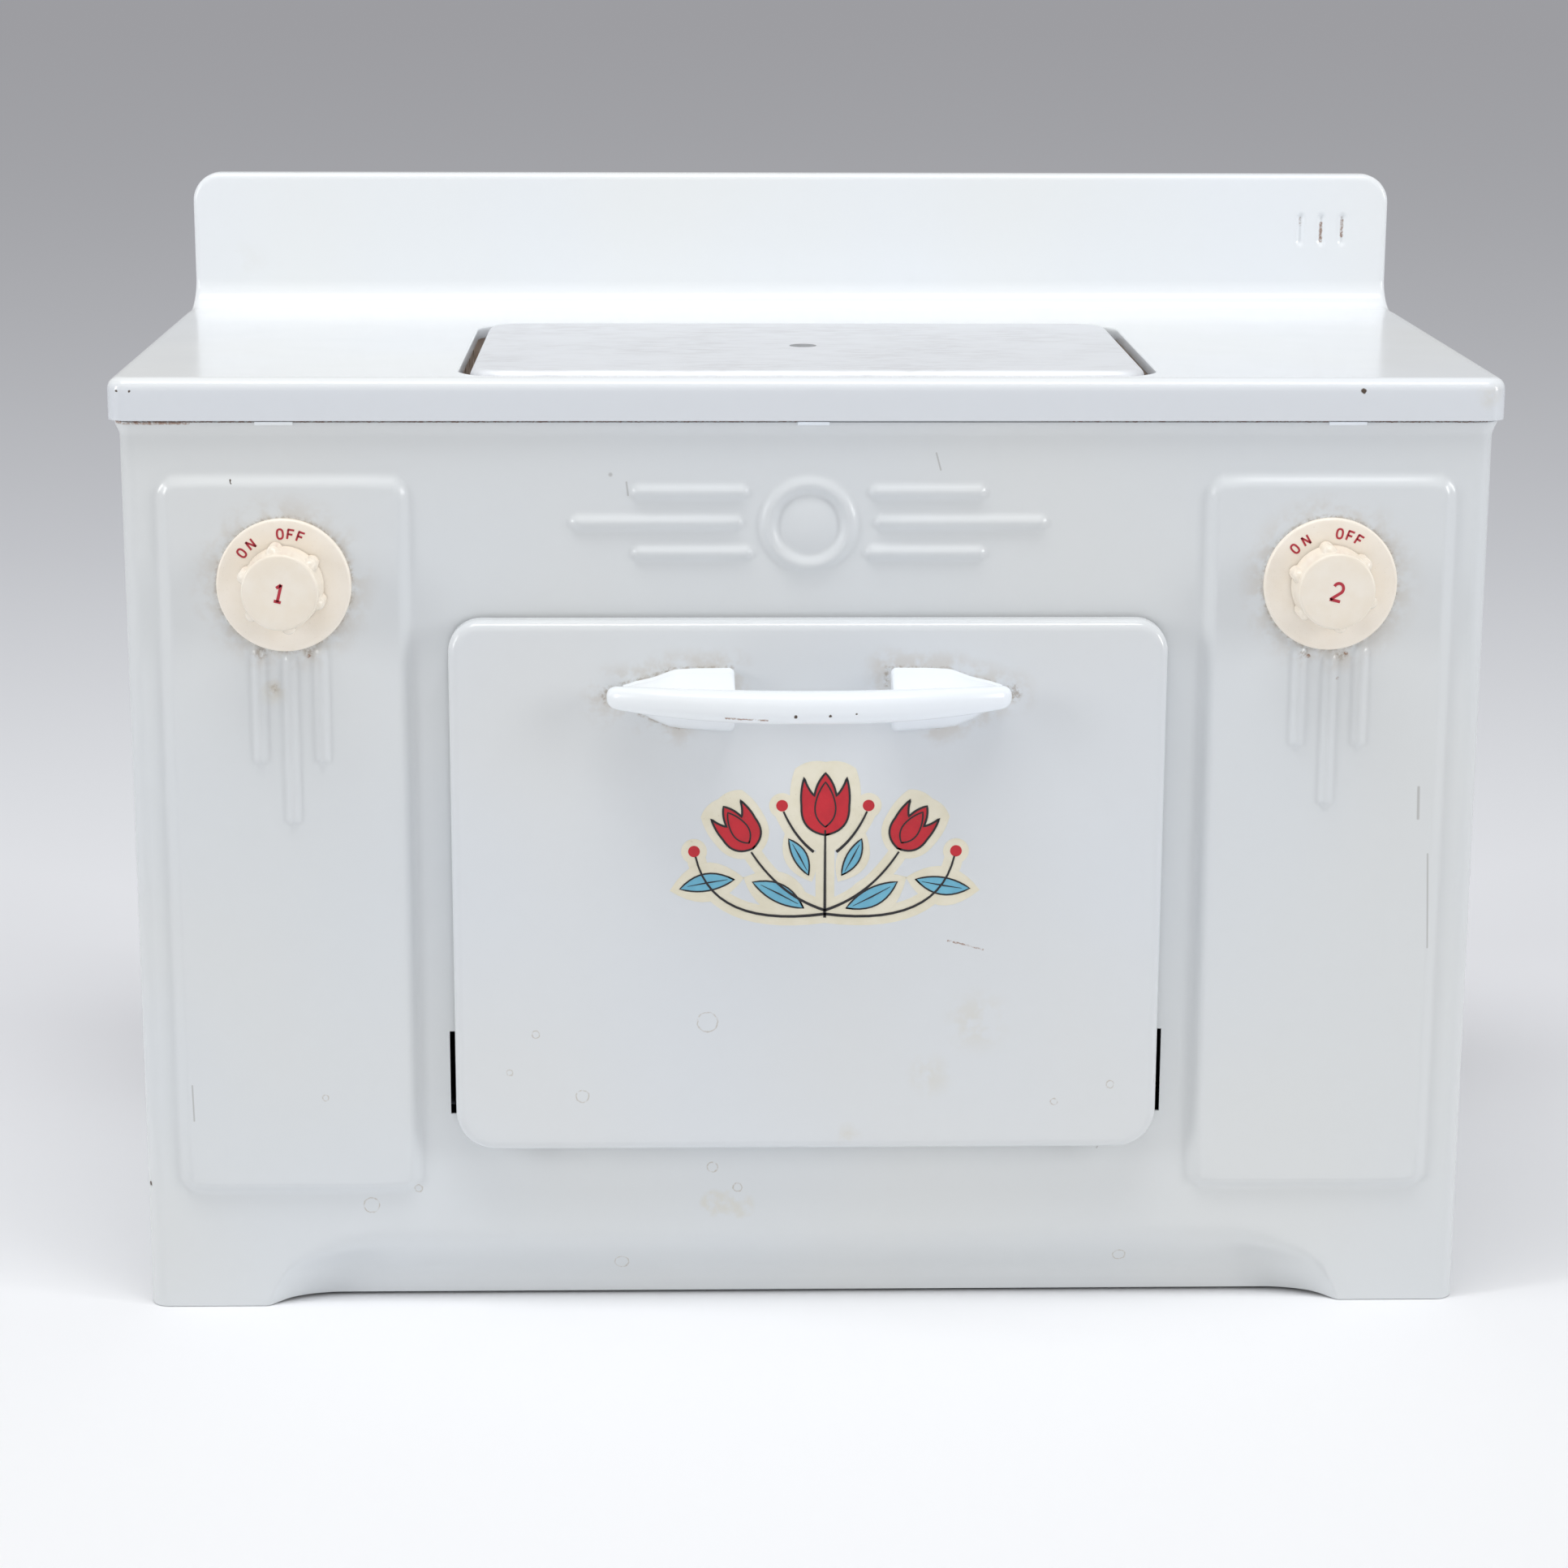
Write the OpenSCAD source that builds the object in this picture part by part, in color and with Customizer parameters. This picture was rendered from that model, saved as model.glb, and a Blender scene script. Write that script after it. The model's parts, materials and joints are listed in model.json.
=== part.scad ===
// Toy electric cooking stove in pressed, enamelled steel, with a griddle on top,
// a drop-down oven door on hidden hinges and two rotary switches.
// Millimetres. +Z is up, the door faces -Y, and +X is to the right of a person facing the door.
// The origin is on the floor, in the middle of the whole outline.
// Inside the modules, Y is measured from the front face of the body, and at_front() moves it into place.

/* [Body] */
// Width of the body over its side walls
body_w = 357; // [350:1:400]
// Depth of the body from its front face to its rear edge
body_d = 168; // [160:1:200]
// Radius of the two upright front corners
body_corner_r = 5; // [3:0.5:8]
// Thickness of the enamelled sheet of the body, cooktop and door
sheet = 0.8; // [0.6:0.1:1]
// Width of the flanges turned in at the rear, the top and the floor
flange_w = 8; // [6:0.5:12]
// How far the rim under the cooktop flares out
flare = 1.2; // [0.6:0.1:1.5]
// Height of the flared rim
flare_h = 3.8; // [2:0.2:6]

/* [Toe space] */
// Height of the toe space between the feet
toe_h = 22.4; // [16:0.4:28]
// Depth of the toe space at the floor
toe_depth = 8; // [4:0.5:12]
// Distance from a side wall to the centre of the arc at the end of the toe space
toe_edge = 62.5; // [60:0.5:90]
// Radius of the arc at each end of the toe space
toe_r = 32; // [29:1:36]
// Length over which the sheet sweeps in from the front face
toe_sweep = 18; // [12:1:22]

/* [Pressed side panels] */
// Distance from a side wall to the panel beside it
panel_edge = 9.3; // [8:0.1:12]
// Gap between the door and a panel
panel_gap = 9.5; // [9:0.1:12]
// Height of the lower edge of a panel above the floor
panel_z = 32.4; // [28:0.4:50]
// Distance from the cooktop down to the upper edge of a panel
panel_drop = 25; // [22:0.2:32]
// How far a panel stands proud
panel_h = 1.8; // [1:0.1:2.5]
// Width of the slope round a panel
panel_slope = 3.6; // [2:0.2:5]
// Corner radius of a panel
panel_r = 6; // [5.4:0.2:9]

/* [Pressed ribs and ring] */
// Distance from the cooktop down to the ring's centre
ring_drop = 38; // [32:0.2:40]
// Mid radius of the ring
ring_r = 10.6; // [8:0.2:12]
// Half the width of the ring's bead
ring_half = 2.3; // [1.5:0.1:2.8]
// How far the ring and the ribs stand proud
bead_h = 1.3; // [0.8:0.1:1.6]
// Radius of the domed disc inside the ring
dome_r = 7.6; // [4:0.2:8]
// Distance between the level ribs
rib_pitch = 8; // [6:0.2:10]
// Half the thickness of a level rib
rib_r = 1.25; // [0.8:0.05:1.6]
// Inner end of a level rib, from the middle
rib_inner = 15.6; // [14:0.2:20]
// Outer end of the upper and lower ribs
rib_short = 47.2; // [30:0.2:60]
// Outer end of the middle rib
rib_long = 63.2; // [50:0.2:80]
// Distance between the upright ribs under a dial
drip_pitch = 8; // [6:0.5:9]
// Half the thickness of an upright rib
drip_r = 1; // [0.6:0.1:1.4]
// Length of the outer upright ribs from the dial's centre
drip_len = 44.5; // [30:0.5:70]
// Length of the middle upright rib from the dial's centre
drip_long = 60.7; // [40:0.5:90]

/* [Cooktop] */
// How far the cooktop stands out over the body at the front and the sides
overhang = 2.5; // [2.3:0.1:3]
// Height of the cooktop's surface above the floor
top_z = 254.2; // [250:0.2:262]
// Height of the skirt
skirt_h = 10.9; // [8:0.1:13]
// Radius of the rounded edge between surface and skirt
edge_r = 3.2; // [2:0.1:3.3]
// Radius of the two upright corners of the skirt
skirt_r = 5.5; // [4.5:0.1:8]
// Height of the backsplash over the cooktop
splash_h = 39.4; // [30:0.2:60]
// Radius of the backsplash's two upper corners
splash_r = 8.5; // [5:0.5:14]
// Depth of the edge turned back round the backsplash
splash_flange = 5; // [4:0.5:8]
// Radius of the turned edge of the backsplash
splash_edge = 1.8; // [1.2:0.1:2.4]
// Radius of the hollow between cooktop and backsplash
fillet_r = 8; // [5:0.5:12]
// Distance of the middle flute from the end of the backsplash
flute_edge = 20; // [17:0.5:60]
// Distance from the backsplash's upper edge down to the flutes' middle
flute_drop = 16.4; // [12:0.2:20]
// Length of a flute
flute_len = 10; // [6:0.5:14]
// Distance between two flutes
flute_pitch = 6.3; // [4:0.1:7]
// Depth of a flute
flute_depth = 0.5; // [0.2:0.05:0.55]
// Width of the tabs that hook the skirt to the body
tab_w = 10.3; // [6:0.1:16]
// Distance of the outer tabs from the ends of the skirt
tab_edge = 43; // [30:0.5:80]

/* [Griddle] */
// Width of the cutout in the cooktop
cutout_w = 182.4; // [150:0.2:200]
// Distance from the body's front face to the front edge of the cutout
cutout_front = 3; // [2.8:0.1:8]
// Length of the cutout from front to back
cutout_d = 113.4; // [90:0.2:130]
// Corner radius of the cutout
cutout_r = 12; // [9:0.5:18]
// Gap between the griddle plate and the cutout
griddle_gap = 2.8; // [1.5:0.1:5]
// How far the griddle plate stands above the cooktop
griddle_proud = 1; // [0.2:0.1:2]
// Thickness of the griddle plate
griddle_t = 2; // [1.6:0.1:3]
// Height of the griddle plate over its turned-down rim
griddle_h = 6; // [5:0.2:9]
// Radius of the griddle's rounded upper edge
griddle_edge = 2.4; // [2:0.1:3]
// Distance from the cooktop down to the bottom of the griddle tray
tray_d = 25.2; // [24:0.2:34]
// Thickness of the plain steel sheet of trays, liner and back
thin_sheet = 0.6; // [0.5:0.1:0.8]
// Radius of the griddle stud
stud_r = 2; // [1.5:0.1:2.5]
// Radius of the griddle stud's flush head
stud_head_r = 3.7; // [3.2:0.1:5]
// Number of runs of the griddle's heating element, an even number
burner_runs = 6; // [4:2:6]
// Distance between two runs of the heating element
burner_pitch = 14; // [13:0.5:15]
// Length of a straight run of the griddle's heating element
burner_len = 120; // [80:1:130]
// Radius of the heating element's rod
rod_r = 1.5; // [1:0.1:2]

/* [Oven] */
// Distance from the door's side edge to the oven's mouth
mouth_edge = 11.1; // [11:0.1:20]
// Distance from the door's lower edge up to the mouth
mouth_low = 13.5; // [11.5:0.5:20]
// Distance from the door's upper edge down to the mouth
mouth_high = 9.5; // [8:0.5:16]
// Space for the wiring behind the oven
wiring_d = 40.4; // [38:0.4:60]
// Height of the rack's ledges over the oven's floor
rack_up = 55; // [30:1:70]
// Width of the rack's ledges
ledge_w = 4; // [3:0.5:6]
// Radius of the rack's frame wire
rack_r = 1.5; // [1:0.1:2]
// Radius of the rack's cross wires
wire_r = 1; // [0.6:0.1:1.4]
// Distance between the rack's cross wires
wire_pitch = 13; // [9:0.5:20]
// Thickness of the insulating jacket over the oven
jacket_t = 4; // [2:0.5:6]
// Height of the posts under the oven's heating element
post_h = 6; // [4:0.5:12]
// Distance between two runs of the oven's heating element
oven_run = 32; // [24:1:40]

/* [Door] */
// Width of the front on each side of the door
side_w = 84.4; // [82:0.2:92]
// Height of the door's lower edge above the floor
door_z = 46.5; // [45:0.1:49]
// Distance from the cooktop down to the door's upper edge
door_drop = 62.7; // [56:0.1:70]
// Thickness of the door
door_t = 6; // [5.6:0.1:8]
// Gap between the door and the front sheet
door_gap = 1; // [1:0.1:1.4]
// Radius of the door's rounded edge
door_edge = 2.8; // [1.6:0.1:2.8]
// Radius of the door's upper corners
door_rt = 8.5; // [6:0.5:14]
// Radius of the door's lower corners
door_rb = 10.5; // [8:0.5:16]
// Height of the hinge axis above the door's lower edge
hinge_up = 1.8; // [1.7:0.05:1.8]
// Distance of the hinge axis in front of the front sheet
hinge_out = 3.1; // [3.1:0.1:3.4]
// Distance of a hinge from the door's side edge
hinge_edge = 24.1; // [22:0.1:40]
// Radius of a hinge pin
pin_r = 0.75; // [0.6:0.05:0.8]
// Radial running clearance of pins and shafts
run_fit = 0.05; // [0.03:0.01:0.08]
// Thickness of a hinge ear
ear_t = 1.6; // [1.2:0.1:2]
// Outer radius of a hinge ear
ear_r = 1.35; // [1.2:0.05:1.4]
// Clearance round moving parts
clear = 0.4; // [0.35:0.05:0.4]
// Inner radius of the stay arms
stay_in = 8; // [7:0.5:10]
// Outer radius of the stay arms
stay_out = 29.5; // [24:0.5:32]
// Thickness of a stay arm
stay_t = 1; // [0.8:0.1:1]
// Width of the stop lip at the end of a stay arm
lip_w = 5; // [4:0.5:6]

/* [Handle] */
// Distance from the door's upper edge down to the middle of the handle
handle_drop = 18.9; // [14:0.1:40]
// Half the length of the handle
handle_half = 52.7; // [40:0.1:60]
// How far the handle stands out from the door
handle_out = 22; // [18:0.5:26]
// Half the height of the handle's bar
bar_r = 4.2; // [3.4:0.1:4.6]
// Distance from the middle to the inner end of each foot
foot_in = 20.4; // [16:0.2:26]
// Height of a foot at its inner end
foot_h = 16.8; // [12:0.2:20]
// Length of the untapered part of a foot
foot_len = 20.6; // [12:0.2:22]
// Distance from the middle to each handle screw
handle_screw_x = 31; // [26:0.5:36]
// Radius of a handle screw
screw_r = 1.65; // [1.2:0.05:2]

/* [Switches] */
// Distance from a panel's upper edge down to the dial's centre
dial_drop = 28.7; // [24:0.1:40]
// Radius of a dial plate
dial_r = 17.5; // [15:0.5:20]
// Thickness of a dial plate
dial_t = 1.8; // [1.2:0.1:2.4]
// Radius of a knob at its base
knob_r = 10.6; // [9.6:0.1:12]
// Radius of a knob's face
knob_face_r = 10; // [8:0.1:10.4]
// Height of a knob
knob_h = 10; // [9:0.5:15]
// Radius of the grip lobes on a knob
lobe_r = 1.6; // [1:0.1:2]
// Number of grip lobes on a knob
lobes = 6; // [3:1:8]
// Direction of the first lobe, from +X towards +Z
lobe_turn = 40; // [0:1:59]
// Radius of a switch shaft
shaft_r = 3; // [2:0.1:3.2]
// Outer radius of a switch's threaded bush
bush_r = 4.4; // [4.2:0.1:5]
// Width of a switch housing
switch_w = 28; // [24:1:34]
// Depth of a switch housing
switch_d = 16; // [12:0.5:22]

/* [Back and wiring] */
// Distance of the cord inlet from the side wall
inlet_edge = 58.5; // [40:0.5:80]
// Height of the cord inlet above the floor
inlet_z = 42; // [34:1:60]
// Radius of the bore in the cord grommet
inlet_r = 3.5; // [3:0.1:4]
// Thickness of the rubber round the grommet's bore
grommet_wall = 2.5; // [2:0.1:3]
// Width of the grommet's lips
grommet_lip = 2; // [1.5:0.1:3]
// Length of a vent slot in the back
vent_len = 34; // [20:1:40]
// Number of vent slots in a column
vents = 6; // [3:1:8]
// Distance between two vent slots
vent_pitch = 12; // [9:0.5:14]
// Radius of an insulated lead
lead_r = 1.2; // [0.8:0.1:1.5]

/* [Hidden] */
$fn = 64;

// Reach of the whole outline in front of and behind the body's front face
splash_y = body_d - 2.5;
reach = door_gap + door_t + handle_out;
rear = splash_y + splash_flange;
front_y = (reach - rear) / 2;

// Body and cooktop
top_w = body_w + 2 * overhang;
door_w = body_w - 2 * side_w;
door_top = top_z - door_drop;
wall_x = body_w / 2 - sheet;
skirt_z = top_z - skirt_h;
rim_gap = 0.6;
rim_z = skirt_z - rim_gap;
under_top = top_z - sheet;
seat = 0.2;
edge_in = max(edge_r - overhang, 0);
body_top = top_z - edge_r + sqrt(pow(edge_r - sheet, 2) - pow(edge_in, 2)) - seat;
splash_w = body_w + 1;
splash_z = top_z + splash_h;
flute_x = splash_w / 2 - flute_edge;
flute_z = splash_z - flute_drop;
tab_pitch = top_w / 2 - tab_edge;
gusset_z = under_top + 0.4 - sheet;
fillet_y = splash_y - fillet_r;
fillet_z = top_z + fillet_r;
back_y = body_d - sheet;
back_w = 2 * (wall_x - seat);
back_top = fillet_z + 2;
base_z = sheet;
base_front = toe_depth + sheet + 1;
big = 500;
cut = 1;

// Pressed details
toe_half = body_w / 2 - toe_edge;
toe_steps = 8;
panel_w = side_w - panel_edge - panel_gap;
panel_top = top_z - panel_drop;
panel_soft = 1.6;
panel_x = body_w / 2 - panel_edge - panel_w / 2;
panel_half_h = (panel_top - panel_z) / 2;
panel_mid = (panel_top + panel_z) / 2;
bead_r = (ring_half * ring_half + bead_h * bead_h) / (2 * bead_h);
ring_z = top_z - ring_drop;
dome_h = 1;
dome_ball = (dome_r * dome_r + dome_h * dome_h) / (2 * dome_h);

// Griddle and its tray
cutout_back = cutout_front + cutout_d;
trimmed = 40;
griddle_y = (cutout_front + cutout_back) / 2;
griddle_w = cutout_w - 2 * griddle_gap;
griddle_d = cutout_d - 2 * griddle_gap;
griddle_r = cutout_r - griddle_gap;
griddle_z = top_z + griddle_proud;
lip_depth = 3;
tray_grow = sheet + seat;
tray_z = top_z - tray_d;
tray_floor = tray_z + thin_sheet;
tray_flange = 7;
head_t = 1.2;
board_feet = 6;
board_t = 3;
leg_in = 8;
board_w = burner_len + 2 * burner_pitch;
board_d = burner_pitch * burner_runs + 4;
board_z = tray_floor + board_feet;
board_top = board_z + board_t;
nut_h = 3;
bolt_fit = 0.1;
burner_y = griddle_y + (burner_runs - 1) * burner_pitch / 2;

// Oven
mouth_w = door_w - 2 * mouth_edge;
mouth_z = door_z + mouth_low;
mouth_top = door_top - mouth_high;
mouth_h = mouth_top - mouth_z;
mouth_mid = (mouth_top + mouth_z) / 2;
mouth_r = 3;
liner_flange = 6;
liner_back = back_y - wiring_d;
oven_d = liner_back - sheet;
rack_z = mouth_z + rack_up;
liner_floor = mouth_z - thin_sheet;
rail_top = rack_z + sheet;
rack_half = mouth_w / 2 - 2;
rack_front = 8;
rack_back = liner_back - 6;
rack_bend = 6;
wires = floor((rack_half - rack_bend) / wire_pitch);
element_z = mouth_z + post_h + rod_r;
element_back = liner_back + 12;
element_front = 22;
turn_room = 20;
element_turn = liner_back - turn_room;
post_inset = 16;
post_r = 3;
bushing_r = 3.5;
bushing_len = 8;
bushing_lip = 2;
jacket_front = 32;
stand_w = 12;
stand_t = 1;

// Door, measured at rest
door_mid = (door_top + door_z) / 2;
door_face = -(door_gap + door_t);
door_back = -door_gap;
door_in = door_face + sheet;
hinge_x = door_w / 2 - hinge_edge;
pin_y = -hinge_out;
pin_z = door_z + hinge_up;
ear_slot = ear_t / 2 + clear;
lug_t = 1.2;
lug_r = 1.5;
lug_top = 8;
pin_half = ear_slot + lug_t + 0.7;
tray_half = door_w / 2 - sheet - clear / 2 - stay_t - 0.1;
arm_x = tray_half;
slot_out = arm_x + stay_t + 2.8;
slot_in = arm_x - clear;
stop_gap = 0.1;
lip_y = hinge_out + sheet + stop_gap;
lip_in = 1.2;
plug_w = mouth_w - 12;
plug_h = mouth_h - 16;
plug_t = 2;
plug_r = mouth_r - thin_sheet;
tongue_z = mouth_top - 6;
tongue_len = 8;
catch_w = 12;
catch_gap = 1.1;
spring_y = 4;
spring_len = 24;
spring_end = 1;
spring_z = tongue_z + catch_gap + spring_end;
bracket_w = 14;
bracket_t = 1.2;
bracket_low = 11.6;
rivet_x = 4;
rivet_low = 7.6;

// Handle
handle_z = door_top - handle_drop;
bar_y = door_face - handle_out + bar_r;
tip_r = 3.4;
tip_y = door_face - tip_r - 0.6;
inner_y = bar_y + 1.6;
foot_low = 10.2;
foot_t = 0.6;
foot_fall = 0.6;
foot_end = 2;
foot_run = 4;
foot_lift = 1.8;
foot_set = 0.8;
tip_high = 1.4;
tip_low = 4;
screw_len = 8;
screw_head_r = 3;
screw_head_h = 1.8;
screw_hole = screw_r + 0.05;

// Switches
dial_z = panel_top - dial_drop;
drip_end = dial_z - drip_len;
drip_low = dial_z - drip_long;
dial_back = -panel_h;
dial_face = dial_back - dial_t;
knob_back = dial_face - clear;
knob_face = knob_back - knob_h;
nut_r = bush_r + 2.2;
nut_t = 2;
bush_front = dial_face - nut_t - 0.6;
knob_hollow = nut_t + 1.2;
switch_y = sheet - panel_h;
rotor_r = shaft_r + 3;
rotor_h = 5;
rotor_room = 3.5;
switch_back = switch_y + switch_d;
shaft_end = switch_back - 3;
dial_edge = 0.4;
knob_edge = 0.4;
knob_wall = 2;
shaft_grip = 0.02;
lobe_h = knob_h - 4;

// Back, base and wiring
vent_w = 3;
vent_r = 1.45;
vent_x = 62;
vent_z = 92;
base_vent_y = 50;
base_vents = 4;
screw_end = 20;
screw_zs = [screw_end, (screw_end + top_z - screw_end) / 2, top_z - screw_end];
back_screw_x = wall_x - flange_w / 2;
back_screw_r = 1.4;
back_head_r = 3;
back_head_h = 1.6;
back_screw_len = 6;
inlet_x = body_w / 2 - inlet_edge;
grommet_r = inlet_r + grommet_wall;
block_w = 44;
block_d = 16;
block_h = 12;
block_x = inlet_x - 8;
block_y = back_y - sheet - block_d - 12;
block_z = base_z + thin_sheet;
block_pitch = 13;
block_hole = 6;
block_screw_r = 2.2;
lead_z = 8;
lead_y = liner_back + 6.5;
lead_gap = 2.5;
lead_side = 6;
lead_rise = 5;
lead_run = 90;

module at_front() {
    translate([0, front_y, 0]) children();
}

// Turns a drawing in X and Y into one in X and Z whose thickness grows towards the viewer from y
module facing(y) {
    translate([0, y, 0]) rotate([90, 0, 0]) children();
}

// The same drawing on both sides
module both_sides() {
    children();
    mirror([1, 0, 0]) children();
}

// Rectangle centred on the origin with radius rt at its two upper corners and rb at the lower ones
module rounded(w, h, rt, rb) {
    polygon([[w / 2, h / 2 - rt], [w / 2 - rt, h / 2], [rt - w / 2, h / 2], [-w / 2, h / 2 - rt],
        [-w / 2, rb - h / 2], [rb - w / 2, -h / 2], [w / 2 - rb, -h / 2], [w / 2, rb - h / 2]]);
    for (s = [-1, 1]) {
        translate([s * (w / 2 - rt), h / 2 - rt]) circle(rt);
        translate([s * (w / 2 - rb), rb - h / 2]) circle(rb);
    }
}

// Section through the wall of a pan, from its corner's axis at x = 0 to its outer face at x = r
module pan_section(r, depth, e, t) {
    difference() {
        intersection() {
            union() {
                square([r - e, depth]);
                square([r, depth - e]);
                translate([r - e, depth - e]) circle(e);
            }
            square([r, depth]);
        }
        translate([-cut, -cut]) square([r - e + cut, depth - t + cut]);
        translate([-cut, -cut]) square([r - t + cut, depth - e + cut]);
        translate([r - e, depth - e]) circle(e - t);
    }
}

// Rounded to an eighth of a millimetre, so that parts placed from opposite ends meet exactly
function exact(v) = round(v * 8) / 8;

// Pressed pan of even sheet thickness t, open at the bottom, with corner radius rt at its two
// upper corners and rb at the lower ones, and with its outer edge rounded to radius e
module pan(w, h, rt, rb, depth, e, t) {
    band = exact(e + 0.5);
    x = exact(w / 2);
    y = exact(h / 2);
    xt = x - exact(rt);
    yt = y - exact(rt);
    xb = x - exact(rb);
    yb = y - exact(rb);
    right = [[x - band, yt], [x - band, -yb], [xb, -yb], [xb, band - y]];
    left = [[-xb, band - y], [-xb, -yb], [band - x, -yb], [band - x, yt]];
    upper = [[-xt, yt], [-xt, y - band], [xt, y - band], [xt, yt]];
    translate([0, 0, depth - t]) linear_extrude(t) polygon(concat(right, left, upper));
    both_sides() {
        translate([x - band, yt, 0]) rotate([90, 0, 0])
            linear_extrude(yt + yb) pan_section(band, depth, e, t);
        translate([xt, yt, 0]) rotate_extrude(angle = 90) pan_section(x - xt, depth, e, t);
        translate([xb, -yb, 0]) rotate([0, 0, -90])
            rotate_extrude(angle = 90) pan_section(x - xb, depth, e, t);
    }
    translate([-xt, y - band, 0]) rotate([90, 0, 90])
        linear_extrude(2 * xt) pan_section(band, depth, e, t);
    translate([xb, band - y, 0]) rotate([90, 0, -90])
        linear_extrude(2 * xb) pan_section(band, depth, e, t);
}

// Round rod through a list of points, with a ball at each bend
module rod(points, r) {
    for (i = [0 : len(points) - 2]) {
        a = points[i];
        b = points[i + 1];
        d = b - a;
        l = norm(d);
        translate(a)
            rotate([0, acos(d.z / l), d.x == 0 && d.y == 0 ? 0 : atan2(d.y, d.x)])
                cylinder(h = l, r = r);
    }
    for (i = [1 : len(points) - 2]) translate(points[i]) sphere(r);
}

// Outline of the body seen from above, grown outwards, with square rear corners at y = back
module body_outline(grow, back) {
    w = body_w / 2 + grow;
    r = body_corner_r + grow;
    translate([-w, body_corner_r]) square([2 * w, back - body_corner_r]);
    translate([r - w, -grow]) square([2 * (w - r), back + grow]);
    for (s = [-1, 1]) translate([s * (w - r), body_corner_r]) circle(r);
}

// Raised side panel as a solid; inset makes it smaller and moves it back
module panel_form(inset) {
    w = panel_w - 2 * inset;
    h = 2 * panel_half_h - 2 * inset;
    r = panel_r - inset;
    r1 = r - panel_slope + panel_soft;
    skin = 0.1;
    hull() {
        translate([panel_x, 0, panel_mid]) facing(inset + skin)
            linear_extrude(skin, $fn = 32) rounded(w, h, r, r);
        translate([panel_x, 0, panel_mid]) facing(inset + skin - panel_h)
            linear_extrude(skin, $fn = 32) rounded(w - 2 * panel_slope, h - 2 * panel_slope, r1, r1);
    }
}

// Level half-round rib from x0 to x1
module level_rib(x0, x1, z) {
    translate([x0, 0, z]) sphere(rib_r);
    translate([x1, 0, z]) sphere(rib_r);
    translate([x0, 0, z]) rotate([0, 90, 0]) cylinder(h = x1 - x0, r = rib_r);
}

module emblem() {
    facing(0) translate([0, ring_z, 0]) {
        rotate_extrude() intersection() {
            translate([ring_r, bead_h - bead_r]) circle(bead_r);
            translate([0, -sheet / 2]) square([2 * ring_r, 2 * bead_h]);
        }
        intersection() {
            translate([0, 0, dome_h - dome_ball]) sphere(dome_ball, $fn = 96);
            translate([0, 0, -sheet / 2]) cylinder(h = 2 * dome_h, r = dome_r);
        }
    }
    both_sides() {
        for (k = [-1, 1]) level_rib(rib_inner, rib_short, ring_z + k * rib_pitch);
        level_rib(rib_inner, rib_long, ring_z);
    }
}

// Upright half-round ribs that hang from a dial and stop just short of it
module drip_ribs(side) difference() {
    for (k = [-1 : 1]) {
        low = k == 0 ? drip_low : drip_end;
        translate([side * panel_x + k * drip_pitch, -panel_h, low]) {
            sphere(drip_r);
            cylinder(h = dial_z - low, r = drip_r);
        }
    }
    translate([side * panel_x, 0, dial_z]) rotate([90, 0, 0])
        cylinder(h = 4 * panel_h, r = dial_r + clear);
}

// Depth of the toe space at a distance d inside its edge
function toe_at(d) = toe_depth * (1 - pow(1 - min(d / toe_sweep, 1), 2));

// Section through the sheet of the toe space: distance from the arc's centre, and depth
function toe_section(offset) = [for (i = [0 : toe_steps]) let (d = i * toe_h / toe_steps)
    [toe_r - d, -toe_at(d) - offset]];

module toe_profile() {
    back = toe_section(sheet);
    polygon(concat(toe_section(0), [for (i = [toe_steps : -1 : 0]) back[i]]));
}

// Opening that the toe space takes out of the front sheet
module toe_cut() {
    facing(sheet + cut) linear_extrude(sheet + 2 * cut) intersection() {
        union() {
            for (s = [-1, 1]) translate([s * toe_half, toe_h - toe_r]) circle(toe_r);
            translate([-toe_half, -cut]) square([2 * toe_half, toe_h + cut]);
        }
        translate([-big / 2, -cut]) square([big, toe_h + 2 * cut]);
    }
}

// The same section with the depth along x and the height along y
module toe_upright() {
    front = toe_section(0);
    back = toe_section(sheet);
    polygon(concat([for (p = front) [-p.y, p.x]], [for (i = [toe_steps : -1 : 0]) [-back[i].y, back[i].x]]));
}

module toe_sheet() {
    translate([-toe_half, 0, toe_h - toe_r]) rotate([90, 0, 90]) linear_extrude(2 * toe_half) toe_upright();
    both_sides() intersection() {
        translate([toe_half, 0, 0]) facing(0) translate([0, toe_h - toe_r, 0])
            rotate_extrude() toe_profile();
        translate([toe_half, -cut, 0]) cube([toe_r + cut, toe_depth + sheet + 2 * cut, toe_h + cut]);
    }
}

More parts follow.
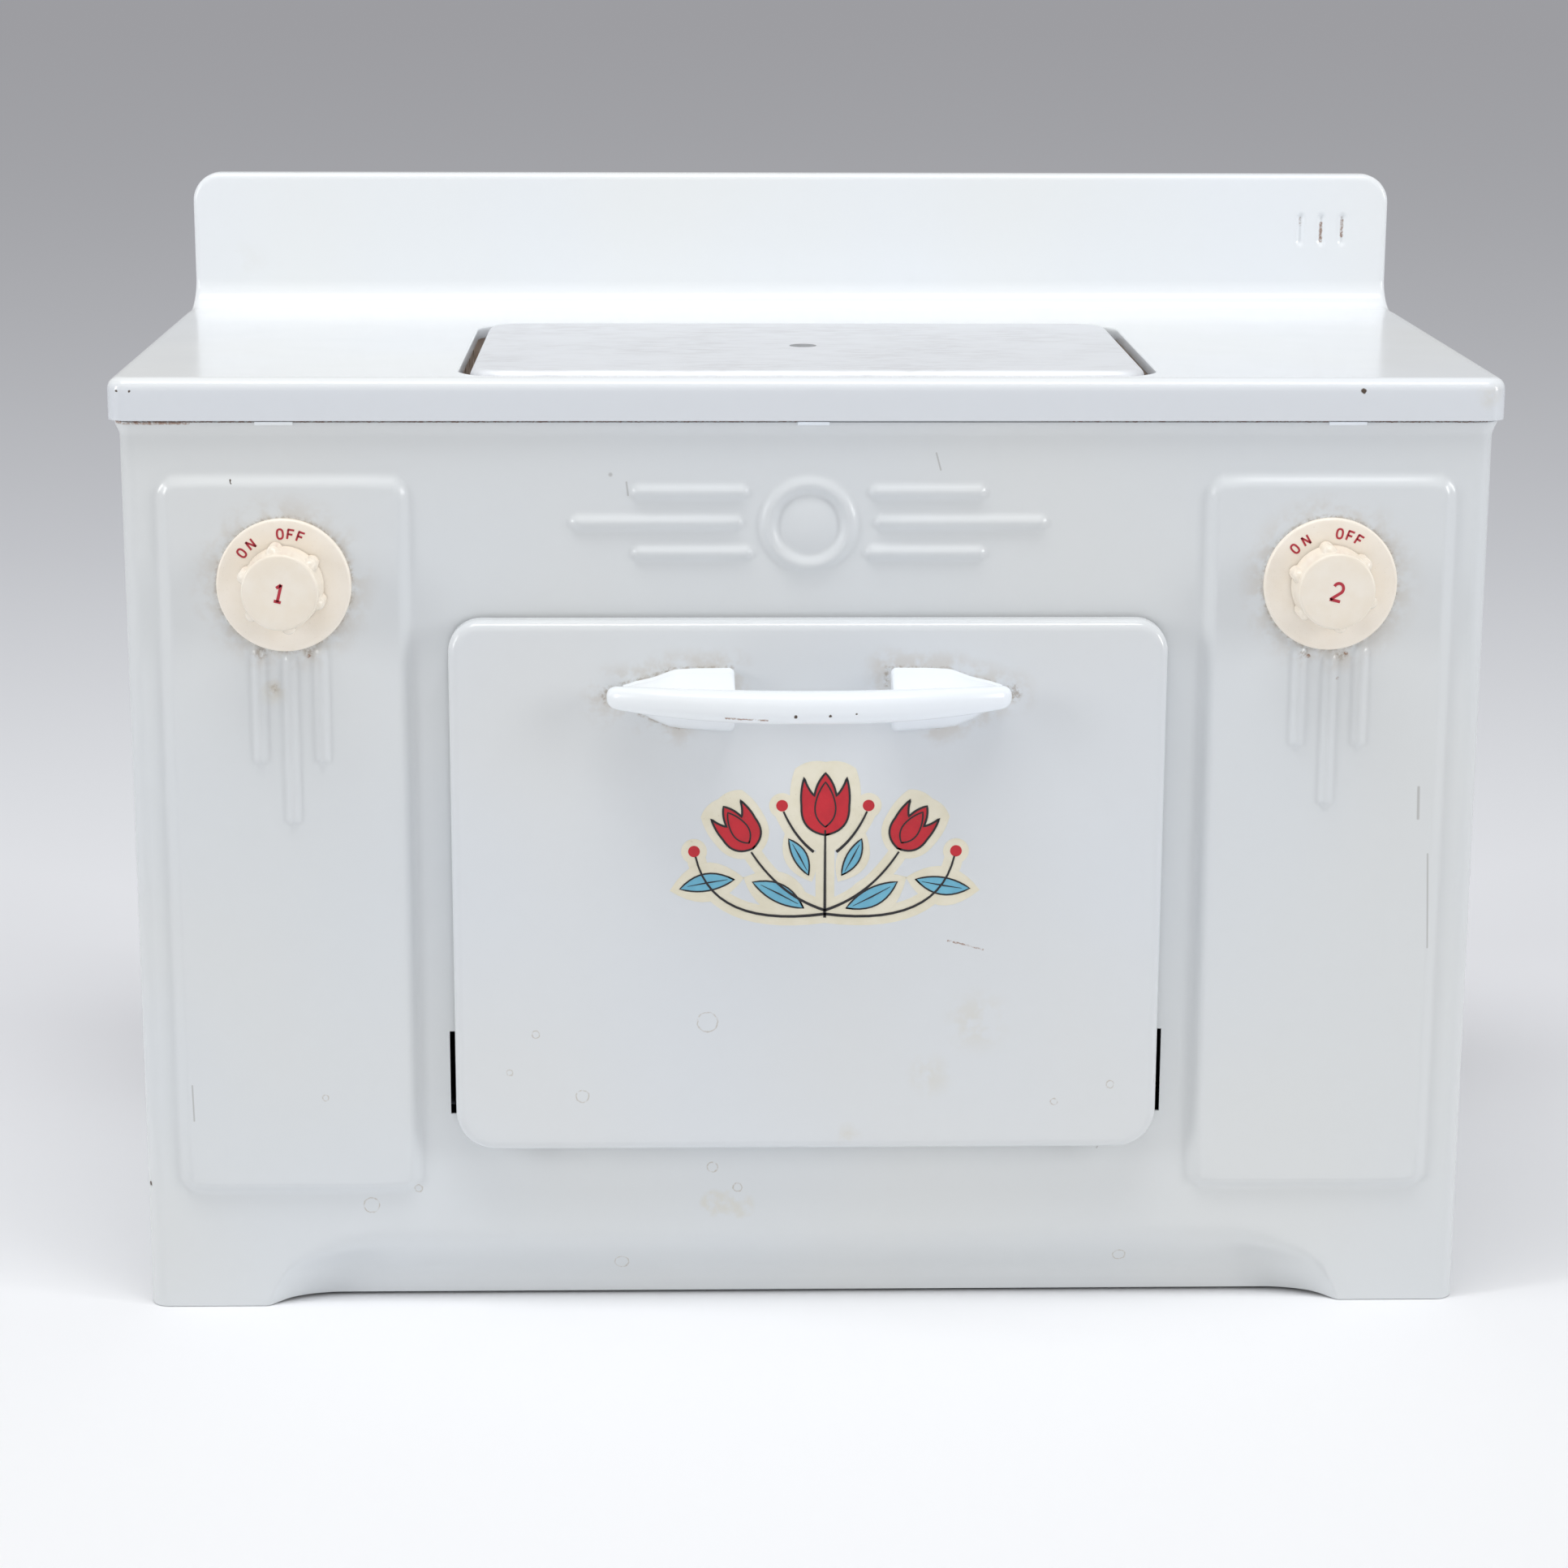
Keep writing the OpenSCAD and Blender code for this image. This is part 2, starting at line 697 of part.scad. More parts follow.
module body_shell() color("gainsboro") at_front() {
    difference() {
        union() {
            linear_extrude(body_top) body_outline(0, back_y);
            translate([0, 0, rim_z - flare_h]) linear_extrude(flare_h) body_outline(flare / 2, back_y);
            translate([0, 0, rim_z - flare_h / 2]) linear_extrude(flare_h / 2) body_outline(flare, back_y);
            both_sides() panel_form(0);
            for (s = [-1, 1]) drip_ribs(s);
            emblem();
        }
        translate([0, 0, -cut]) linear_extrude(body_top + 2 * cut) body_outline(-sheet, body_d + cut);
        both_sides() panel_form(sheet);
        translate([0, 0, mouth_mid]) facing(sheet + cut) linear_extrude(sheet + 2 * cut)
            rounded(mouth_w, mouth_h, mouth_r, mouth_r);
        both_sides() {
            translate([slot_in, -cut, pin_z + stay_slot_low()])
                cube([slot_out - slot_in, sheet + 2 * cut, stay_slot_high() - stay_slot_low()]);
            translate([hinge_x - ear_slot, -cut, pin_z - ear_r - clear])
                cube([2 * ear_slot, sheet + 2 * cut, 2 * (ear_r + clear)]);
            translate([panel_x, 0, dial_z]) rotate([90, 0, 0])
                cylinder(h = 4 * panel_h, r = bush_r + bolt_fit, center = true);
        }
        toe_cut();
    }
    toe_sheet();
    both_sides() {
        difference() {
            translate([wall_x - flange_w, back_y - sheet, 0]) cube([flange_w, sheet, body_top]);
            for (z = screw_zs) translate([back_screw_x, back_y, z]) rotate([90, 0, 0])
                cylinder(h = 4 * sheet, r = back_screw_r + bolt_fit, center = true);
        }
        translate([wall_x - flange_w, base_front, 0]) cube([flange_w, back_y - base_front, sheet]);
        translate([wall_x - flange_w, base_front, under_top - sheet])
            cube([flange_w, back_y - base_front, sheet]);
    }
}

// Lower and upper ends of the slot that a stay arm slides through, from the hinge axis
function stay_slot_low() = sqrt(pow(stay_in, 2) - pow(hinge_out + sheet, 2)) - clear;
function stay_slot_high() = stay_out + clear;

module cooktop() color("whitesmoke") at_front() {
    long = rear + trimmed;
    mid_y = long / 2 - overhang;
    difference() {
        translate([0, mid_y, skirt_z]) pan(top_w, long, skirt_r, skirt_r, skirt_h, edge_r, sheet);
        translate([-big / 2, rear, 0]) cube([big, big, big]);
        translate([sheet - splash_w / 2, fillet_y, skirt_z])
            cube([splash_w - 2 * sheet, big, skirt_h + cut]);
        translate([0, griddle_y, skirt_z]) linear_extrude(skirt_h + cut)
            rounded(cutout_w, cutout_d, cutout_r, cutout_r);
    }
    translate([0, griddle_y, top_z - lip_depth]) difference() {
        linear_extrude(lip_depth)
            rounded(cutout_w + 2 * sheet, cutout_d + 2 * sheet, cutout_r + sheet, cutout_r + sheet);
        translate([0, 0, -cut]) linear_extrude(lip_depth + 2 * cut)
            rounded(cutout_w, cutout_d, cutout_r, cutout_r);
    }
    translate([-splash_w / 2, 0, 0]) rotate([90, 0, 90]) linear_extrude(splash_w) intersection() {
        translate([fillet_y, fillet_z]) difference() {
            circle(fillet_r + sheet);
            circle(fillet_r);
        }
        translate([fillet_y, fillet_z - 2 * fillet_r]) square(2 * fillet_r);
    }
    both_sides() translate([splash_w / 2 - sheet, 0, 0]) rotate([90, 0, 90]) linear_extrude(sheet)
        difference() {
            translate([fillet_y, gusset_z]) square([rear - fillet_y, fillet_z - gusset_z]);
            translate([fillet_y, fillet_z]) circle(fillet_r);
        }
    splash();
    for (k = [-1 : 1]) translate([k * tab_pitch - tab_w / 2, -overhang, skirt_z - rim_gap - sheet])
        cube([tab_w, sheet, rim_gap + sheet + cut]);
}

// Upright part of the backsplash above the hollow
module splash() {
    tall = 2 * (splash_z - fillet_z);
    difference() {
        translate([0, 0, splash_z - tall / 2]) facing(rear)
            pan(splash_w, tall, splash_r, splash_r, splash_flange, splash_edge, sheet);
        translate([-big / 2, 0, 0]) cube([big, big, fillet_z]);
        for (k = [-1 : 1]) translate([flute_x + k * flute_pitch, splash_y - 1, flute_z]) {
            cylinder(h = flute_len - 2, r = 1 + flute_depth, center = true);
        }
    }
}

module back_panel() color("silver") at_front() {
    difference() {
        translate([-back_w / 2, back_y, base_z]) cube([back_w, thin_sheet, back_top - base_z]);
        for (s = [-1, 1]) {
            for (z = screw_zs) translate([s * back_screw_x, back_y, z]) rotate([90, 0, 0])
                cylinder(h = 4 * sheet, r = back_screw_r + bolt_fit, center = true);
            for (i = [0 : vents - 1]) translate([s * vent_x, back_y, vent_z + i * vent_pitch]) vent();
        }
        translate([inlet_x, back_y, inlet_z]) rotate([90, 0, 0])
            cylinder(h = 4 * sheet, r = grommet_r, center = true);
    }
}

// Slot with round ends through an upright sheet
module vent() {
    rotate([90, 0, 0]) linear_extrude(4 * sheet, center = true)
        rounded(vent_len, vent_w, vent_r, vent_r);
}

module base_plate() color("silver") at_front() difference() {
    translate([-back_w / 2, base_front, base_z])
        cube([back_w, back_y - base_front - sheet - seat, thin_sheet]);
    for (s = [-1, 1]) for (i = [0 : base_vents - 1])
        translate([s * vent_x, base_vent_y + i * vent_pitch, base_z])
            linear_extrude(4 * sheet, center = true) rounded(vent_len, vent_w, vent_r, vent_r);
}

module back_screws() color("silver") at_front() {
    for (s = [-1, 1]) for (z = screw_zs) translate([s * back_screw_x, back_y, z]) rotate([90, 0, 0]) {
        translate([0, 0, -thin_sheet - back_head_h]) cylinder(h = back_head_h, r = back_head_r);
        translate([0, 0, -thin_sheet - seat]) cylinder(h = back_screw_len, r = back_screw_r);
    }
}

module cord_grommet() color("dimgray") at_front() translate([inlet_x, back_y + thin_sheet / 2, inlet_z])
    rotate([90, 0, 0]) difference() {
        union() {
            cylinder(h = thin_sheet + 2, r = grommet_r, center = true);
            for (s = [-1, 1]) translate([0, 0, s * (thin_sheet / 2 + 0.75)])
                cylinder(h = 1.5, r = grommet_r + grommet_lip, center = true);
        }
        cylinder(h = big, r = inlet_r, center = true);
    }

module griddle_plate() color("darkgray") at_front() difference() {
    translate([0, griddle_y, griddle_z - griddle_h])
        pan(griddle_w, griddle_d, griddle_r, griddle_r, griddle_h, griddle_edge, griddle_t);
    translate([0, griddle_y, griddle_z - griddle_h]) cylinder(h = 2 * griddle_h, r = stud_r + bolt_fit);
    translate([0, griddle_y, griddle_z - head_t]) cylinder(h = 2 * head_t, r = stud_head_r + run_fit);
}

module griddle_stud() color("gray") at_front() translate([0, griddle_y, 0]) {
    translate([0, 0, griddle_z - head_t]) cylinder(h = head_t, r = stud_head_r);
    translate([0, 0, tray_z - nut_h - 2]) cylinder(h = griddle_z - tray_z + nut_h + 1, r = stud_r);
}

module griddle_spacer() color("silver") at_front() translate([0, griddle_y, tray_floor]) difference() {
    cylinder(h = griddle_z - griddle_t - tray_floor, r = 2 * stud_r);
    translate([0, 0, -cut]) cylinder(h = big, r = stud_r + bolt_fit);
}

module griddle_nut() color("silver") at_front() translate([0, griddle_y, tray_z - nut_h]) difference() {
    cylinder(h = nut_h, r = 2.1 * stud_r, $fn = 6);
    translate([0, 0, -cut]) cylinder(h = nut_h + 2 * cut, r = stud_r + run_fit);
}

module tray_outline(grow) {
    g = tray_grow + grow;
    translate([0, griddle_y]) rounded(cutout_w + 2 * g, cutout_d + 2 * g, cutout_r + g, cutout_r + g);
}

module burner_tray() color("silver") at_front() difference() {
    union() {
        translate([0, 0, tray_z]) linear_extrude(under_top - tray_z) tray_outline(thin_sheet);
        intersection() {
            translate([0, 0, under_top - thin_sheet]) linear_extrude(thin_sheet)
                tray_outline(thin_sheet + tray_flange);
            translate([-big / 2, cutout_front - tray_grow, 0]) cube(big);
        }
    }
    translate([0, 0, tray_floor]) linear_extrude(big) tray_outline(0);
    translate([0, griddle_y, 0]) cylinder(h = big, r = stud_r + bolt_fit);
    for (i = [-2 : 2]) translate([0, griddle_y + i * cutout_d / 6, top_z - lip_depth - 4])
        rotate([0, 90, 0]) cylinder(h = big, r = 2.5, center = true);
}

module burner_board() color("ivory") at_front() difference() {
    union() {
        translate([-board_w / 2, griddle_y - board_d / 2, board_z]) cube([board_w, board_d, board_t]);
        for (s = [-1, 1]) for (t = [-1, 1])
            translate([s * (board_w / 2 - leg_in), griddle_y + t * (board_d / 2 - leg_in), tray_floor])
                cylinder(h = board_feet + 1, r = leg_in / 2);
    }
    translate([0, griddle_y, 0]) cylinder(h = big, r = 2 * stud_r + clear);
}

// Rod that runs to and fro along X, with half-round bends, starting at the origin
module serpentine(runs, pitch, l, r) {
    for (i = [0 : runs - 1]) translate([-l / 2, -i * pitch, 0]) rotate([0, 90, 0]) cylinder(h = l, r = r);
    for (i = [0 : runs - 2]) translate([(i % 2 == 0 ? 1 : -1) * l / 2, -(i + 0.5) * pitch, 0])
        rotate([0, 0, i % 2 == 0 ? -90 : 90])
            rotate_extrude(angle = 180) translate([pitch / 2, 0]) circle(r);
}

module burner_element() color("dimgray") at_front() translate([0, burner_y, board_top + rod_r])
    serpentine(burner_runs, burner_pitch, burner_len, rod_r);

module liner_outline(grow) {
    translate([0, mouth_mid])
        rounded(mouth_w + 2 * grow, mouth_h + 2 * grow, mouth_r + grow, mouth_r + grow);
}

module oven_liner() color("lightsteelblue") at_front() {
    difference() {
        union() {
            facing(liner_back + thin_sheet) linear_extrude(oven_d + thin_sheet) liner_outline(thin_sheet);
            facing(sheet + thin_sheet) linear_extrude(thin_sheet) liner_outline(thin_sheet + liner_flange);
        }
        facing(liner_back) linear_extrude(big) liner_outline(0);
        for (s = [-1, 1]) translate([s * 1.5 * oven_run, liner_back, element_z]) rotate([90, 0, 0])
            cylinder(h = bushing_len, r = bushing_r + bolt_fit, center = true);
    }
    both_sides() translate([mouth_w / 2 - ledge_w, rack_front, rack_z])
        cube([ledge_w + thin_sheet / 2, rack_back - rack_front, sheet]);
}

module oven_jacket() color("burlywood") at_front() facing(liner_back)
    linear_extrude(liner_back - jacket_front) difference() {
        liner_outline(thin_sheet + jacket_t);
        liner_outline(thin_sheet);
        translate([-big / 2, 0]) square([big, mouth_z]);
    }

module liner_stands() color("silver") at_front() both_sides() {
    h = liner_floor - base_z - thin_sheet;
    translate([mouth_w / 2 - 2 * stand_w, liner_back - 2 * stand_w, base_z + thin_sheet]) {
        cube([stand_w, stand_w, stand_t]);
        cube([stand_w, stand_t, h]);
        translate([0, 0, h - stand_t]) cube([stand_w, stand_w, stand_t]);
    }
}

module oven_rack() color("silver") at_front() translate([0, 0, rail_top + rack_r]) {
    x = rack_half - rack_bend;
    y0 = rack_front + rack_bend;
    y1 = rack_back - rack_bend;
    both_sides() {
        translate([rack_half, y0, 0]) rotate([-90, 0, 0]) cylinder(h = y1 - y0, r = rack_r);
        translate([x, y0, 0]) rotate([0, 0, -90])
            rotate_extrude(angle = 90) translate([rack_bend, 0]) circle(rack_r);
        translate([x, y1, 0]) rotate_extrude(angle = 90) translate([rack_bend, 0]) circle(rack_r);
    }
    for (y = [rack_front, rack_back]) translate([-x, y, 0]) rotate([0, 90, 0])
        cylinder(h = 2 * x, r = rack_r);
    for (k = [-wires : wires]) translate([k * wire_pitch, rack_front, 0]) rotate([-90, 0, 0])
        cylinder(h = rack_back - rack_front, r = wire_r);
}

// Rod of the oven's element: four runs along Y, with the ends led out through the rear wall
module oven_element() color("dimgray") at_front() translate([0, 0, element_z]) {
    for (s = [-1, 1]) {
        translate([s * 1.5 * oven_run, element_front, 0]) rotate([-90, 0, 0])
            cylinder(h = element_back - element_front, r = rod_r);
        translate([s * 0.5 * oven_run, element_front, 0]) rotate([-90, 0, 0])
            cylinder(h = element_turn - element_front, r = rod_r);
        translate([s * oven_run, element_front, 0]) rotate([0, 0, 180])
            rotate_extrude(angle = 180) translate([oven_run / 2, 0]) circle(rod_r);
    }
    translate([0, element_turn, 0]) rotate_extrude(angle = 180) translate([oven_run / 2, 0]) circle(rod_r);
}

module oven_posts() color("ivory") at_front() for (k = [-1.5, -0.5, 0.5, 1.5])
    for (y = [element_front + post_inset, element_turn - post_inset])
    translate([k * oven_run, y, mouth_z]) cylinder(h = post_h, r = post_r);

module oven_bushings() color("ivory") at_front() for (s = [-1, 1])
    translate([s * 1.5 * oven_run, liner_back - bushing_lip, element_z]) rotate([-90, 0, 0]) difference() {
        union() {
            cylinder(h = bushing_len, r = bushing_r);
            cylinder(h = bushing_lip, r = bushing_r + bushing_lip);
        }
        translate([0, 0, -cut]) cylinder(h = bushing_len + 2 * cut, r = rod_r + bolt_fit);
    }

// Room that the hinges need in the lower rim of the door, half as wide as given on each side
module hinge_room(half) {
    both_sides() translate([hinge_x - half, pin_y - ear_r - clear, door_z - cut])
        cube([2 * half, hinge_out + ear_r + clear, hinge_up + ear_r + clear + cut]);
}

module door_shell() color("whitesmoke") at_front() difference() {
    translate([0, 0, door_mid]) facing(door_back)
        pan(door_w, door_top - door_z, door_rt, door_rb, door_t, door_edge, sheet);
    hinge_room(ear_slot + lug_t + seat);
    both_sides() translate([handle_screw_x, door_face, handle_z]) rotate([90, 0, 0])
        cylinder(h = 4 * sheet, r = screw_hole, center = true);
}

// Flat inner tray of the door, with its rim towards the outer shell and a shallow plug towards the oven
module door_liner() color("lightsteelblue") at_front() {
    gap = door_w / 2 - tray_half;
    h = door_top - door_z - 2 * gap;
    rt = door_rt - gap;
    rb = door_rb - gap;
    rim = door_t - sheet - edge_rise(gap - sheet) - run_fit;
    wide = 2 * (tray_half - thin_sheet);
    difference() {
        translate([0, 0, door_mid]) facing(door_back) difference() {
            union() {
                linear_extrude(rim) rounded(2 * tray_half, h, rt, rb);
                translate([0, mouth_mid - door_mid, -plug_t]) linear_extrude(plug_t + cut)
                    rounded(plug_w, plug_h, mouth_r, mouth_r);
            }
            translate([0, 0, thin_sheet]) linear_extrude(big)
                rounded(wide, h - 2 * thin_sheet, rt - thin_sheet, rb - thin_sheet);
            translate([0, mouth_mid - door_mid, thin_sheet - plug_t]) linear_extrude(plug_t + cut)
                rounded(plug_w - 2 * thin_sheet, plug_h - 2 * thin_sheet, plug_r, plug_r);
        }
        hinge_room(pin_half + seat);
    }
    both_sides() for (s = [-1, 1])
        translate([hinge_x + s * (ear_slot + lug_t / 2), pin_y, pin_z]) difference() {
            union() {
                rotate([0, 90, 0]) cylinder(h = lug_t, r = lug_r, center = true);
                translate([-lug_t / 2, -lug_r, 0]) cube([lug_t, lug_r + hinge_out - door_gap, lug_top]);
            }
            rotate([0, 90, 0]) cylinder(h = 2 * lug_t, r = pin_r, center = true);
        }
}

// How far the inside of the door's rounded edge stands up from its plate, at a distance from its rim
function edge_rise(inset) = let (r = door_edge - sheet, d = max(r - inset, 0)) r - sqrt(r * r - d * d);

// Foot of the handle: flat on the door, drawn out into the tip and up to the bar
module handle_foot() {
    high = handle_z - foot_low + foot_h;
    far = foot_in + foot_len;
    end = handle_half - foot_end;
    hull() {
        facing(door_face) linear_extrude(foot_t) polygon([[foot_in, handle_z - foot_low], [foot_in, high],
            [far, high - foot_fall], [end, handle_z + tip_high], [end, handle_z - tip_low],
            [far - foot_run, handle_z - foot_low + foot_lift]]);
        translate([foot_in + foot_set, inner_y, handle_z]) rotate([0, 90, 0])
            cylinder(h = 1, r = bar_r, $fn = 32);
        translate([handle_half - tip_r, tip_y, handle_z]) sphere(tip_r, $fn = 32);
    }
}

module door_handle() color("whitesmoke") at_front() difference() {
    both_sides() {
        handle_foot();
        hull() {
            translate([0, bar_y, handle_z]) rotate([0, 90, 0])
                cylinder(h = 1, r = bar_r, center = true, $fn = 32);
            translate([foot_in + foot_set, inner_y, handle_z]) rotate([0, 90, 0])
                cylinder(h = 1, r = bar_r, $fn = 32);
        }
    }
    both_sides() translate([handle_screw_x, door_face + cut, handle_z]) rotate([90, 0, 0])
        cylinder(h = screw_len + cut, r = screw_hole);
}

module handle_screws() color("silver") at_front() both_sides()
    translate([handle_screw_x, door_in, handle_z]) {
        rotate([90, 0, 0]) cylinder(h = screw_len, r = screw_r);
        rotate([-90, 0, 0]) cylinder(h = screw_head_h, r = screw_head_r);
    }

module catch_tongue() color("silver") at_front() {
    translate([-catch_w / 2, door_back, tongue_z - 1]) cube([catch_w, plug_t + tongue_len, 1]);
}

// Leaf spring under the oven's roof, with a turned-down end that the tongue slides under
module catch_spring() color("silver") at_front() translate([-catch_w / 2, spring_y, 0]) {
    translate([0, 0, mouth_top - thin_sheet]) cube([catch_w, spring_len, thin_sheet]);
    translate([0, 0, spring_z]) cube([catch_w, thin_sheet, mouth_top - spring_z]);
    translate([0, spring_end, spring_z]) rotate([0, 90, 0]) cylinder(h = catch_w, r = spring_end);
}

// Mirrors a drawing of the right side when the left one is wanted
module turned(side) {
    mirror([side < 0 ? 1 : 0, 0, 0]) children();
}

module hinge_bracket(side) color("silver") at_front() turned(side) difference() {
    union() {
        translate([hinge_x - bracket_w / 2, sheet, pin_z - bracket_low])
            cube([bracket_w, bracket_t, bracket_w]);
        translate([hinge_x - ear_t / 2, pin_y, pin_z - ear_r])
            cube([ear_t, hinge_out + sheet + bracket_t - seat, 2 * ear_r]);
        translate([hinge_x, pin_y, pin_z]) rotate([0, 90, 0]) cylinder(h = ear_t, r = ear_r, center = true);
    }
    translate([hinge_x, pin_y, pin_z]) rotate([0, 90, 0])
        cylinder(h = 2 * bracket_w, r = pin_r + run_fit, center = true);
}

module hinge_rivets() color("silver") at_front() both_sides() for (s = [-1, 1])
    translate([hinge_x + s * rivet_x, sheet + bracket_t, pin_z - rivet_low]) rotate([-90, 0, 0])
        cylinder(h = 1, r1 = 2, r2 = 1.2);

module hinge_pin(side) color("gray") at_front() translate([side * hinge_x, pin_y, pin_z])
    rotate([0, 90, 0]) cylinder(h = 2 * pin_half, r = pin_r, center = true);

// Quadrant that follows the door through the slot beside it and stops it with the lip at its end
module stay_arm(side) color("silver") at_front() turned(side) translate([arm_x, pin_y, pin_z]) {
    rotate([90, 0, 90]) linear_extrude(stay_t) {
        intersection() {
            difference() {
                circle(stay_out);
                circle(stay_in);
            }
            translate([0, -lip_y - sheet]) square(2 * stay_out);
        }
        translate([arm_room(), stay_in]) square([-arm_room(), stay_out - stay_in - seat]);
    }
    translate([0, stay_in + lip_in, -lip_y - sheet])
        cube([stay_t + lip_w, stay_out - stay_in - 2 * lip_in, sheet]);
}

// How far a stay arm may reach forwards inside the door, from the hinge axis
function arm_room() = door_in + edge_rise(door_w / 2 - sheet - arm_x - stay_t) + seat - pin_y;

// Puts a drawing in X and Y on a switch's axis, facing the viewer, from y forwards
module on_switch(side, y) {
    translate([side * panel_x, y, dial_z]) rotate([90, 0, 0]) children();
}

module dial_plate(side) color("ivory") at_front() on_switch(side, dial_back) difference() {
    union() {
        cylinder(h = dial_t - dial_edge, r = dial_r);
        cylinder(h = dial_t, r = dial_r - dial_edge);
    }
    translate([0, 0, -cut]) cylinder(h = dial_t + 2 * cut, r = bush_r + bolt_fit);
}

module knob(side) color("ivory") at_front() on_switch(side, knob_back) difference() {
    union() {
        cylinder(h = knob_h - knob_edge, r1 = knob_r, r2 = knob_face_r);
        cylinder(h = knob_h, r1 = knob_r - knob_edge, r2 = knob_face_r - knob_edge);
        for (i = [0 : lobes - 1]) rotate(lobe_turn + i * 360 / lobes) translate([knob_r - knob_edge, 0, 0]) {
            cylinder(h = lobe_h, r = lobe_r);
            translate([0, 0, lobe_h]) sphere(lobe_r);
        }
    }
    translate([0, 0, -cut]) cylinder(h = knob_hollow + cut, r = nut_r + 1);
    translate([0, 0, -cut]) cylinder(h = knob_h - knob_wall + cut, r = shaft_r + shaft_grip);
}

module shaft(side) color("goldenrod") at_front() on_switch(side, shaft_end) {
    cylinder(h = shaft_end - knob_face - knob_wall - 1, r = shaft_r);
    translate([0, 0, 1]) cylinder(h = rotor_h, r = rotor_r);
}

module switch_body(side) color("saddlebrown") at_front() on_switch(side, switch_back) difference() {
    union() {
        translate([-switch_w / 2, -switch_w / 2, 0]) cube([switch_w, switch_w, switch_d]);
        cylinder(h = switch_back - bush_front, r = bush_r);
    }
    cylinder(h = 4 * switch_d, r = shaft_r + run_fit, center = true);
    translate([0, 0, rotor_room]) cylinder(h = rotor_h + 1, r = rotor_r + clear);
    cylinder(h = 2 * rotor_room + cut, r = shaft_r + clear, center = true);
}

module switch_nut(side) color("goldenrod") at_front() on_switch(side, dial_face) difference() {
    cylinder(h = nut_t, r = nut_r, $fn = 6);
    translate([0, 0, -cut]) cylinder(h = nut_t + 2 * cut, r = bush_r + run_fit);
}

// Places of the screws in the terminal block
module block_places() {
    for (k = [-1 : 1]) translate([block_x + k * block_pitch, block_y + block_d / 2, block_z + block_hole])
        children();
}

module terminal_block() color("saddlebrown") at_front() difference() {
    translate([block_x - block_w / 2, block_y, block_z]) cube([block_w, block_d, block_h]);
    block_places() cylinder(h = block_h, r = block_screw_r);
}

module terminal_screws() color("goldenrod") at_front() block_places() {
    cylinder(h = block_h - block_hole + 1, r = block_screw_r - bolt_fit);
    translate([0, 0, block_h - block_hole]) cylinder(h = 1.6, r = block_screw_r + 1);
}

module lead_left() color("firebrick") at_front() {
    x = block_x - block_pitch;
    rod([[x, block_y, lead_z], [x, lead_y, lead_z], [-panel_x, lead_y, lead_z],
        [-panel_x, lead_y, dial_z], [-panel_x, switch_back, dial_z]], lead_r);
}

module lead_right() color("firebrick") at_front() {
    x = block_x + block_pitch;
    y = lead_y - lead_gap;
    x1 = panel_x + lead_side;
    rod([[x, block_y, lead_z], [x, y, lead_z], [x1, y, lead_z], [x1, y, dial_z],
        [x1, switch_back, dial_z]], lead_r);
}

module lead_oven() color("black") at_front() {
    x = 1.5 * oven_run;
    y = element_back + lead_rise;
    x1 = panel_x - lead_side;
    z1 = dial_z - lead_side;
    rod([[x, element_back, element_z], [x, y, element_z], [x1, y, element_z], [x1, y, z1],
        [x1, switch_back, z1]], lead_r);
}

module lead_burner() color("black") at_front() {
    x = lead_side - panel_x;
    z = dial_z + lead_side;
    z1 = tray_z - lead_side;
    x1 = x + lead_run;
    rod([[x, switch_back, z], [x, griddle_y, z], [x, griddle_y, z1], [x1, griddle_y, z1],
        [x1, griddle_y, tray_z]], lead_r);
}

body_shell();
cooktop();
back_panel();
base_plate();
back_screws();
cord_grommet();
griddle_plate();
griddle_stud();
griddle_spacer();
griddle_nut();
burner_tray();
burner_board();
burner_element();
oven_liner();
oven_jacket();
liner_stands();
oven_rack();
oven_element();
oven_posts();
oven_bushings();
door_shell();
door_liner();
door_handle();
handle_screws();
catch_tongue();
catch_spring();
hinge_bracket(-1);  // hinge_bracket_left
hinge_bracket(1);  // hinge_bracket_right
hinge_rivets();
hinge_pin(-1);  // hinge_pin_left
hinge_pin(1);  // hinge_pin_right
stay_arm(-1);  // stay_arm_left
stay_arm(1);  // stay_arm_right
dial_plate(-1);  // dial_plate_left
dial_plate(1);  // dial_plate_right
knob(-1);  // knob_left
knob(1);  // knob_right
shaft(-1);  // shaft_left
shaft(1);  // shaft_right
switch_body(-1);  // switch_left
switch_body(1);  // switch_right
switch_nut(-1);  // switch_nut_left
switch_nut(1);  // switch_nut_right
terminal_block();
terminal_screws();
lead_left();
lead_right();
lead_oven();
lead_burner();
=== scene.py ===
# %% [markdown]
# # A toy cooking stove in enamelled steel
# The stove was engineered first: every sheet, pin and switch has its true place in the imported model.
# Here that model is loaded as a fixed frame, and the pieces whose looks matter most are drawn again as
# finer surfaces, on exactly the same sizes. Drawing them as formulas keeps them light and easy to change.

# %% Load the frame
import json
import math

